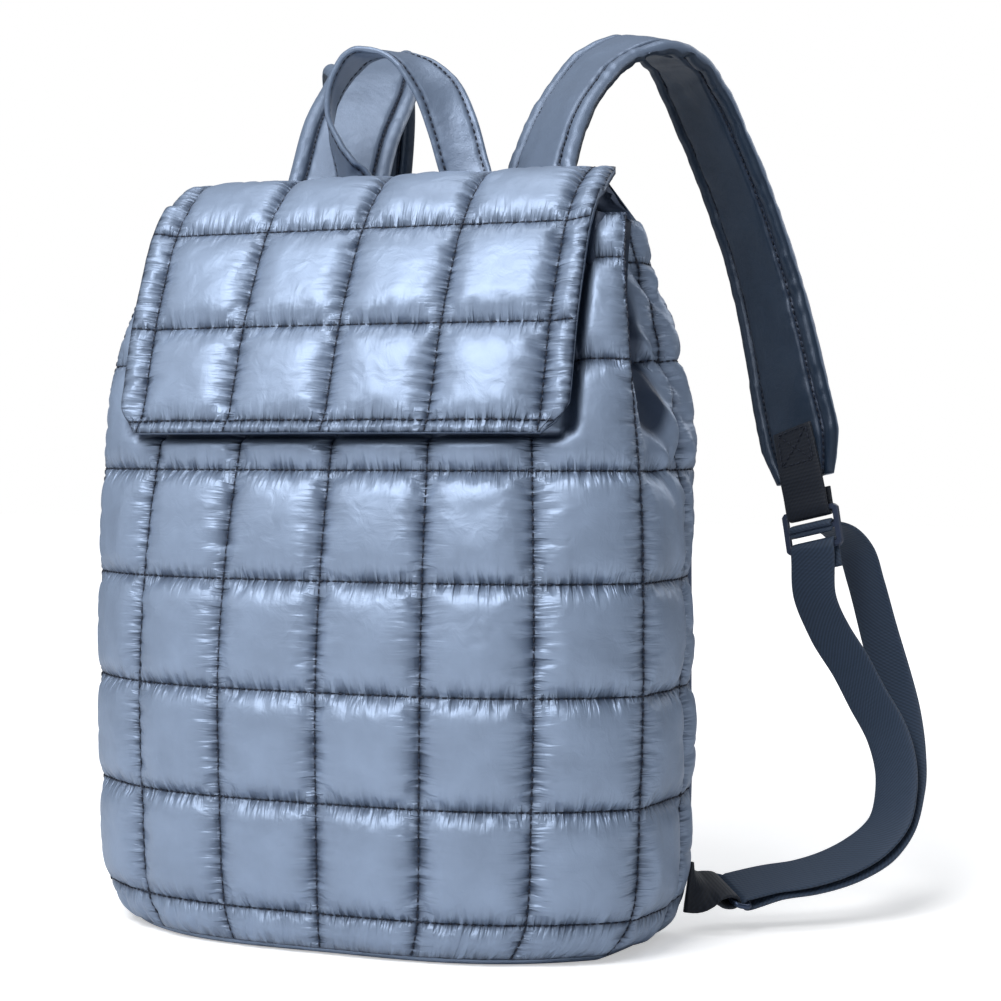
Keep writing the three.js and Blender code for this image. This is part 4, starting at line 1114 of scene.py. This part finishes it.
def mixed(nodes, links, factor, a, b):
    """A colour mix node; a and b are colours or outputs. Returns its output."""
    mix = nodes.new("ShaderNodeMix")
    mix.data_type = "RGBA"
    links.new(factor, mix.inputs["Factor"])
    for socket, value in (("A", a), ("B", b)):
        if isinstance(value, tuple):
            mix.inputs[socket].default_value = (*value, 1)
        else:
            links.new(value, mix.inputs[socket])
    return mix.outputs["Result"]


def mark(nodes, name):
    """The value of one of a mesh's own marks."""
    node = nodes.new("ShaderNodeAttribute")
    node.attribute_name = name
    return node.outputs["Fac"]


def bump(nodes, links, height, strength, distance, below=None):
    """A bump node's normal, laid over another if below is given."""
    node = nodes.new("ShaderNodeBump")
    node.inputs["Strength"].default_value = strength
    node.inputs["Distance"].default_value = distance
    links.new(height, node.inputs["Height"])
    if below is not None:
        links.new(below, node.inputs["Normal"])
    return node.outputs["Normal"]


def strip_wave(nodes, links, scale, direction):
    """Bands across or along a strip, from its own flat coordinates in metres."""
    place = nodes.new("ShaderNodeUVMap")
    place.uv_map = "Strip"
    wave = nodes.new("ShaderNodeTexWave")
    wave.bands_direction = direction
    wave.inputs["Scale"].default_value = scale
    links.new(place.outputs["UV"], wave.inputs["Vector"])
    return wave.outputs["Fac"]


def math_node(nodes, links, operation, *values):
    """A math node's output; the values are numbers or outputs."""
    node = nodes.new("ShaderNodeMath")
    node.operation = operation
    for socket, value in zip(node.inputs, values):
        if isinstance(value, (int, float)):
            socket.default_value = value
        else:
            links.new(value, socket)
    return node.outputs[0]


def near(nodes, links, name, reach):
    """1 on a seam and less away from it, from a mark that holds distances in millimetres."""
    return math_node(nodes, links, "EXPONENT",
                     math_node(nodes, links, "MULTIPLY", mark(nodes, name), -1 / reach))


def grain_at(nodes, links, place, scale, detail=2.0, distortion=0.0):
    """A noise texture's value over a place output."""
    grain = nodes.new("ShaderNodeTexNoise")
    for socket, value in (("Scale", scale), ("Detail", detail), ("Distortion", distortion)):
        grain.inputs[socket].default_value = value
    links.new(place, grain.inputs["Vector"])
    return grain.outputs["Fac"]


def stretched(nodes, links, scale, distortion):
    """Noise over a sheet's flat coordinates, with its own scale in each direction."""
    place = nodes.new("ShaderNodeUVMap")
    place.uv_map = "Strip"
    fit = nodes.new("ShaderNodeMapping")
    fit.inputs["Scale"].default_value = (*scale, 1)
    links.new(place.outputs["UV"], fit.inputs["Vector"])
    grain = grain_at(nodes, links, fit.outputs["Vector"], 1, distortion=distortion)
    sharp = nodes.new("ShaderNodeMapRange")
    sharp.inputs["From Min"].default_value = 0.36
    sharp.inputs["From Max"].default_value = 0.62
    links.new(grain, sharp.inputs["Value"])
    return sharp.outputs["Result"]


def nylon(name, colour, dark):
    """Shiny nylon: short puckers beside its stitched lines, soft creases and a fine weave, with
    painted shade in the puckers and sewn grooves and wherever the 'shade' mark asks.
    """
    material, nodes, links, shader = new_material(name, Metallic=0.4, Roughness=0.47)
    place = nodes.new("ShaderNodeTexCoord").outputs["Object"]
    patch = grain_at(nodes, links, place, 45, detail=3)
    tone = mixed(nodes, links, patch, scaled(colour, 1.1), scaled(colour, 0.72))
    # Painted shade: the colour darkens towards the seam colour in the puckers and grooves beside the
    # seams, and by the mesh's 'shade' mark (mouth fold, ditch beside the flap, linings).
    along_rows = math_node(nodes, links, "MULTIPLY", near(nodes, links, "to_row", 3.4),
                           stretched(nodes, links, (330, 45), distortion=0.45))
    along_columns = math_node(nodes, links, "MULTIPLY", near(nodes, links, "to_column", 4.0),
                              stretched(nodes, links, (42, 290), distortion=0.3))
    pucker = math_node(nodes, links, "MAXIMUM", along_rows, along_columns)
    row = near(nodes, links, "to_row", 0.8)
    column = near(nodes, links, "to_column", 1.3)
    groove = math_node(nodes, links, "MAXIMUM", row, column)
    groove = math_node(nodes, links, "MULTIPLY", groove, 0.7)
    shade = math_node(nodes, links, "MULTIPLY_ADD", pucker, 0.62, groove)
    shade = math_node(nodes, links, "MAXIMUM", shade, mark(nodes, "shade"))
    shade = math_node(nodes, links, "MINIMUM", shade, 0.95)
    links.new(mixed(nodes, links, shade, tone, dark), shader.inputs["Base Color"])
    crease = grain_at(nodes, links, place, 95, detail=4, distortion=0.8)
    weave = grain_at(nodes, links, place, 2600)
    fold = grain_at(nodes, links, place, 24, detail=2, distortion=0.35)
    broad = bump(nodes, links, fold, 0.55, 0.006)
    low = bump(nodes, links, crease, 0.32, 0.0016, broad)
    depth = math_node(nodes, links, "MULTIPLY", pucker, -1.0)
    puckered = bump(nodes, links, depth, 1.0, 0.0022, low)
    links.new(bump(nodes, links, weave, 0.1, 0.0002, puckered),
              shader.inputs["Normal"])
    return material


def strap_cloth(name, colour, inside, dark):
    """Strap cloth: woven middle band, crinkled nylon rolls, darker inner face (its own darker cloth
    and painted shade), sewn channels.
    """
    material, nodes, links, shader = new_material(name, Metallic=0.32, Roughness=0.42)
    place = nodes.new("ShaderNodeTexCoord").outputs["Object"]
    patch = grain_at(nodes, links, place, 60)
    outer = mixed(nodes, links, patch, colour, tuple(c * 0.8 for c in colour))
    # Inner face: partly its own darker cloth, partly painted shade.
    lining = mixed(nodes, links, patch, inside, tuple(c * 0.75 for c in inside))
    face = mixed(nodes, links, mark(nodes, "inner"), outer, lining)
    sewn = mixed(nodes, links, mark(nodes, "seam"), face, dark)
    links.new(sewn, shader.inputs["Base Color"])
    crease = grain_at(nodes, links, place, 210, detail=4)
    rough = bump(nodes, links, crease, 0.35, 0.0009)
    weave = grain_at(nodes, links, place, 1800)
    links.new(bump(nodes, links, weave, 0.3, 0.0003, rough),
              shader.inputs["Normal"])
    return material


def webbing_cloth(name, colour, light):
    """Woven webbing: ribs across, paler twill threads and a matte, slightly glossy thread."""
    material, nodes, links, shader = new_material(name, Metallic=0.05, Roughness=0.62)
    shader.inputs["Sheen Weight"].default_value = 0.1
    shader.inputs["Sheen Roughness"].default_value = 0.4
    ribs = strip_wave(nodes, links, 160, "Y")
    twill = strip_wave(nodes, links, 260, "DIAGONAL")
    links.new(mixed(nodes, links, twill, colour, light), shader.inputs["Base Color"])
    first = bump(nodes, links, ribs, 0.25, 0.0003)
    links.new(bump(nodes, links, twill, 0.15, 0.0002, first), shader.inputs["Normal"])
    return material


def moulded(name, colour, metallic, roughness):
    """Satin moulded or painted fitting with faint mottling."""
    material, nodes, links, shader = new_material(name, Metallic=metallic, Roughness=roughness)
    place = nodes.new("ShaderNodeTexCoord").outputs["Object"]
    patch = grain_at(nodes, links, place, 900)
    links.new(mixed(nodes, links, patch, colour, tuple(c * 1.4 for c in colour)),
              shader.inputs["Base Color"])
    links.new(bump(nodes, links, patch, 0.08, 0.0002), shader.inputs["Normal"])
    return material


def make_fittings(plastic, metal):
    """Sliders and rings: the frame's own solids with rounded edges."""
    for side in ("right", "left"):
        for name, material in (("slider_", plastic), ("anchor_ring_", metal)):
            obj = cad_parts[name + side]
            obj.data.materials.clear()
            obj.data.materials.append(material)
            obj.modifiers.new("Weld", "WELD").merge_threshold = 0.00001
        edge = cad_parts["slider_" + side].modifiers.new("RoundEdges", "BEVEL")
        edge.width = 0.0006
        edge.segments = 3
        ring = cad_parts["anchor_ring_" + side]
        ring.modifiers.new("RoundWire", "SUBSURF").render_levels = 2


def box_stitches(line, width, start, stop, out):
    """Stitch paths of a box with a cross, on a strip between two places along it."""
    half = 0.38 * width
    corners = [(start, -half), (start, half), (stop, half), (stop, -half), (start, -half),
               (stop, half), (start, half), (stop, -half)]
    paths = []
    for (s0, u0), (s1, u1) in zip(corners[:-1], corners[1:]):
        s = np.linspace(s0, s1, 12)
        u = np.linspace(u0, u1, 12)[:, None]
        p, w, n = [np.stack([np.interp(s, line["s"], line[k][:, i]) for i in range(3)], -1)
                   for k in ("p", "w", "n")]
        side = np.where((n @ np.array(out))[:, None] < 0, -1.0, 1.0)
        paths.append((p + w * u + n * side * WEBBING_THICKNESS / 2, n * side))
    return paths


def make_stage():
    """Floor, soft lights, white surround and the camera at the photograph's angle."""
    scene = bpy.context.scene
    scene.view_settings.view_transform = "Standard"
    world = bpy.data.worlds.new("Studio")
    scene.world = world
    world.use_nodes = True
    nodes, links = world.node_tree.nodes, world.node_tree.links
    surround = nodes["Background"]
    seen = nodes.new("ShaderNodeBackground")
    seen.inputs["Color"].default_value = (1, 1, 1, 1)
    seen.inputs["Strength"].default_value = 1.0
    surround.inputs["Color"].default_value = (0.85, 0.91, 1.0, 1)
    surround.inputs["Strength"].default_value = 0.22
    path = nodes.new("ShaderNodeLightPath")
    mix = nodes.new("ShaderNodeMixShader")
    links.new(path.outputs["Is Camera Ray"], mix.inputs["Fac"])
    links.new(surround.outputs[0], mix.inputs[1])
    links.new(seen.outputs[0], mix.inputs[2])
    links.new(mix.outputs[0], nodes["World Output"].inputs["Surface"])
    for name, place, size, power in LIGHTS:
        light = bpy.data.lights.new(name, "AREA")
        light.shape = "RECTANGLE"
        light.size, light.size_y = size
        light.energy = power
        lamp = bpy.data.objects.new(name, light)
        lamp.location = place
        aim = Vector((0, 0, 0.2)) - Vector(place)
        lamp.rotation_mode = "QUATERNION"
        lamp.rotation_quaternion = aim.to_track_quat("-Z", "Y")
        scene.collection.objects.link(lamp)
    mesh = bpy.data.meshes.new("Floor")
    corners = [(x * FLOOR_HALF, y * FLOOR_HALF, 0) for x, y in ((-1, -1), (1, -1), (1, 1), (-1, 1))]
    mesh.from_pydata(corners, [], [(0, 1, 2, 3)])
    floor = bpy.data.objects.new("Floor", mesh)
    scene.collection.objects.link(floor)
    material, nodes, links, shader = new_material("PaleFloor", Roughness=0.8)
    shader.inputs["Base Color"].default_value = (0.9, 0.9, 0.9, 1)
    shader.inputs["Emission Color"].default_value = (1, 1, 1, 1)
    place = nodes.new("ShaderNodeTexCoord")
    reach = nodes.new("ShaderNodeVectorMath")
    reach.operation = "LENGTH"
    links.new(place.outputs["Object"], reach.inputs[0])
    fade = nodes.new("ShaderNodeMapRange")
    fade.inputs["From Min"].default_value = 0.6
    fade.inputs["From Max"].default_value = 1.6
    fade.inputs["To Min"].default_value = 0.45
    fade.inputs["To Max"].default_value = 1.0
    links.new(reach.outputs["Value"], fade.inputs["Value"])
    path = nodes.new("ShaderNodeLightPath")
    glow = math_node(nodes, links, "MULTIPLY", fade.outputs["Result"], path.outputs["Is Camera Ray"])
    links.new(glow, shader.inputs["Emission Strength"])
    mesh.materials.append(material)
    camera = bpy.data.cameras.new("PhotoCamera")
    camera.sensor_width = SENSOR
    camera.lens = FOCAL_PIXELS / PHOTO_PIXELS * SENSOR
    camera.shift_x = (PHOTO_PIXELS / 2 - AXIS_PIXEL) / PHOTO_PIXELS
    camera.shift_y = -(PHOTO_PIXELS / 2 - HORIZON_PIXEL) / PHOTO_PIXELS
    rig = bpy.data.objects.new("PhotoCamera", camera)
    turn = math.radians(CAMERA_TURN)
    rig.location = (CAMERA_AWAY * math.sin(turn), -CAMERA_AWAY * math.cos(turn), CAMERA_HEIGHT)
    rig.rotation_euler = (math.radians(90), 0, turn)
    scene.collection.objects.link(rig)
    scene.camera = rig


MATERIALS = {
    "shell": lambda: nylon("QuiltNylon", chosen("nylon"), chosen("seam")),
    "strap": lambda: strap_cloth("StrapCloth", chosen("strap"), chosen("strap_inside_and_shade"),
                                 chosen("seam")),
    "panel": lambda: strap_cloth("PanelCloth", chosen("panel"), chosen("panel"), chosen("seam")),
    "webbing": lambda: webbing_cloth("Webbing", chosen("webbing"), scaled(chosen("webbing"))),
    "tab": lambda: webbing_cloth("DarkWebbing", chosen("tab"), scaled(chosen("tab"))),
    "thread": lambda: moulded("Thread", chosen("thread"), 0.0, 0.7),
    "plastic": lambda: moulded("SliderPlastic", chosen("slider"), 0.0, 0.3),
    "metal": lambda: moulded("RingMetal", chosen("ring"), 0.8, 0.3),
}
MADE = {}      # materials made so far, by the names above
SEAMS = {}     # stitch paths of the pieces made so far


def scaled(colour, share=1.6):
    """A paler or darker copy of a colour."""
    return tuple(c * share for c in colour)


def cloth(name):
    """One of the shared materials, made the first time that it is wanted."""
    if name not in MADE:
        MADE[name] = MATERIALS[name]()
    return MADE[name]


def body_seams(outer, heights, q):
    """Stitch paths of the body's quilting and hem."""
    seam_rows = np.array([FIRST_ROW + k * QUILT_UP for k in range(FULL_ROWS + 1)] + [HEM_SEAM])
    rows = np.flatnonzero(np.min(np.abs(heights[:, None] - seam_rows[None]), 1) < 0.01)
    columns = np.flatnonzero(np.abs(q - np.round(q)) < 1e-3)
    return grid_stitches(outer, rows, columns, under_flap(outer) < 0.5)


def flap_seams(outer, pinned):
    """Stitch paths of the flap's quilting."""
    rows = np.flatnonzero(pinned.all(1))[1:-1]
    columns = np.flatnonzero(pinned.all(0))[1:-1]
    return grid_stitches(outer, rows, columns, np.ones(outer.shape[:2], bool))


def length_property(name, description, default):
    """A length setting in metres."""
    return bpy.props.FloatProperty(name=name, description=description, default=default,
                                   min=0.0, unit="LENGTH", precision=5)


def colour_property(name, description, default):
    """A colour setting."""
    return bpy.props.FloatVectorProperty(name=name, description=description, default=default,
                                         size=3, min=0.0, max=1.0, subtype="COLOR")


class BackpackSettings(bpy.types.PropertyGroup):
    """Sizes and colours of the dressed backpack that can be changed."""
    puff_height: length_property("Puff height", "Height at which a quilted puff grows flat", 0.0075)
    cloth_excess: bpy.props.FloatProperty(
        name="Cloth excess", description="Share by which the shell's cloth is larger than its seams",
        default=0.07, min=0.0, max=0.3, subtype="FACTOR")
    cloth_pressure: bpy.props.FloatProperty(
        name="Filling pressure", description="Pressure of the filling in the cloth simulation",
        default=3.0, min=0.0, max=20.0)
    flap_rim: length_property("Flap rim lift", "How far the flap's edge stands off the body", 0.003)
    flap_press: length_property("Flap press", "Depth of the ditch beside the flap's edge", 0.0035)
    stitch_pitch: length_property("Stitch pitch", "Distance from one stitch to the next", 0.0037)
    stitch_radius: length_property("Thread radius", "Radius of the sewing thread", 0.0005)
    nylon: colour_property("Nylon", "Shiny cloth of the shell and flap", (0.26, 0.335, 0.468))
    # Colour of the painted shade on the nylon: sewn grooves, puckers, the mouth fold, the ditch beside
    # the flap and the linings; also the dark lines of the strap channels.
    seam: colour_property("Seam shade", "Dark of the sewn grooves", (0.018, 0.032, 0.065))
    strap: colour_property("Strap", "Outer cloth of the straps and the loop", (0.17, 0.225, 0.325))
    # Inner face of the straps: partly their own darker cloth, partly painted shade.
    strap_inside_and_shade: colour_property("Strap inside", "Inner cloth of the straps", (0.02, 0.038, 0.07))
    panel: colour_property("Back panel", "Cloth of the back panel", (0.12, 0.16, 0.25))
    webbing: colour_property("Webbing", "Adjuster webbing", (0.019, 0.034, 0.062))
    tab: colour_property("Tabs", "Dark webbing of the tabs", (0.002, 0.005, 0.012))
    thread: colour_property("Thread", "Sewing thread", (0.006, 0.010, 0.022))
    slider: colour_property("Sliders", "Plastic of the sliders", (0.03, 0.04, 0.07))
    ring: colour_property("Rings", "Painted metal of the rings", (0.05, 0.07, 0.12))


class BACKPACK_OT_body(bpy.types.Operator):
    """Sews the quilted front and sides"""
    bl_idname = "backpack.body"
    bl_label = "Quilted body"

    def execute(self, context):
        outer, _, heights, q = make_body(cloth("shell"))
        SEAMS["body"] = body_seams(outer, heights, q)
        return {"FINISHED"}


class BACKPACK_OT_flap(bpy.types.Operator):
    """Sews the quilted flap"""
    bl_idname = "backpack.flap"
    bl_label = "Flap"

    def execute(self, context):
        outer, pinned = make_flap(cloth("shell"))
        SEAMS["flap"] = flap_seams(outer, pinned)
        return {"FINISHED"}


class BACKPACK_OT_panels(bpy.types.Operator):
    """Makes the back panel and the base"""
    bl_idname = "backpack.panels"
    bl_label = "Back and base"

    def execute(self, context):
        make_back(cloth("panel"))
        make_base(cloth("shell"))
        return {"FINISHED"}


class BACKPACK_OT_straps(bpy.types.Operator):
    """Makes the carrying loop and the two shoulder straps"""
    bl_idname = "backpack.straps"
    bl_label = "Loop and straps"

    def execute(self, context):
        loop = make_handle(cloth("strap"))
        paths = strap_stitches(loop, HANDLE_WIDTH, HANDLE_CHANNEL, HANDLE_SEAM_HALF)
        foot = loop["s"][-1] - BAR_TACK_START
        paths += box_stitches(loop, HANDLE_WIDTH, foot, foot + BAR_TACK_LENGTH, (0, -1, 0))
        for side, splay in (("right", 1.0), ("left", LEFT_SPLAY)):
            line = make_strap(side, splay, cloth("strap"))
            paths += strap_stitches(line, STRAP_WIDTH, STRAP_CHANNEL, STRAP_SEAM_HALF)
        SEAMS["straps"] = paths
        return {"FINISHED"}


class BACKPACK_OT_webbing(bpy.types.Operator):
    """Makes the adjuster webbing and the tabs"""
    bl_idname = "backpack.webbing"
    bl_label = "Webbing and tabs"

    def execute(self, context):
        make_webbing(cloth("webbing"), cloth("tab"))
        SEAMS["tabs"] = []
        for line in (tab_line(1.0), mirror_line(tab_line(LEFT_SPLAY))):
            SEAMS["tabs"] += box_stitches(line, WEBBING_WIDTH, 1.5, TAB_LENGTH - 8, (0, -1, 0))
        return {"FINISHED"}


class BACKPACK_OT_fittings(bpy.types.Operator):
    """Finishes the sliders and rings of the frame"""
    bl_idname = "backpack.fittings"
    bl_label = "Sliders and rings"

    def execute(self, context):
        make_fittings(cloth("plastic"), cloth("metal"))
        return {"FINISHED"}


class BACKPACK_OT_stitching(bpy.types.Operator):
    """Sews the thread of every seam"""
    bl_idname = "backpack.stitching"
    bl_label = "Stitching"

    def execute(self, context):
        missing = {"body", "flap", "straps", "tabs"} - set(SEAMS)
        if missing:
            raise RuntimeError(f"make these pieces before their stitching: {sorted(missing)}")
        sew("BodyStitching", SEAMS["body"], cloth("thread"))
        sew("FlapStitching", SEAMS["flap"], cloth("thread"))
        sew("StrapStitching", SEAMS["straps"] + SEAMS["tabs"], cloth("thread"), "strap_fabric")
        return {"FINISHED"}


class BACKPACK_OT_stage(bpy.types.Operator):
    """Sets up the floor, the lights, the surround and the camera"""
    bl_idname = "backpack.stage"
    bl_label = "Stage"

    def execute(self, context):
        make_stage()
        return {"FINISHED"}


STEPS = (BACKPACK_OT_body, BACKPACK_OT_flap, BACKPACK_OT_panels, BACKPACK_OT_straps,
         BACKPACK_OT_webbing, BACKPACK_OT_fittings, BACKPACK_OT_stitching, BACKPACK_OT_stage)


class BACKPACK_PT_panel(bpy.types.Panel):
    """Lists the backpack's settings and its steps"""
    bl_idname = "BACKPACK_PT_panel"
    bl_label = "Quilted Backpack"
    bl_space_type = "VIEW_3D"
    bl_region_type = "UI"
    bl_category = "Backpack"

    def draw(self, context):
        for name in BackpackSettings.__annotations__:
            self.layout.prop(context.scene.backpack, name)
        for step in STEPS:
            self.layout.operator(step.bl_idname)


CLASSES = (BackpackSettings, *STEPS, BACKPACK_PT_panel)


def register():
    """Adds the classes and the settings to Blender."""
    for item in CLASSES:
        bpy.utils.register_class(item)
    bpy.types.Scene.backpack = bpy.props.PointerProperty(type=BackpackSettings)


def unregister():
    """Takes them out again."""
    del bpy.types.Scene.backpack
    for item in reversed(CLASSES):
        bpy.utils.unregister_class(item)


def main():
    """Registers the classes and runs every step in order."""
    register()
    for step in STEPS:
        group, name = step.bl_idname.split(".")
        getattr(getattr(bpy.ops, group), name)()


if __name__ == "__main__":
    main()
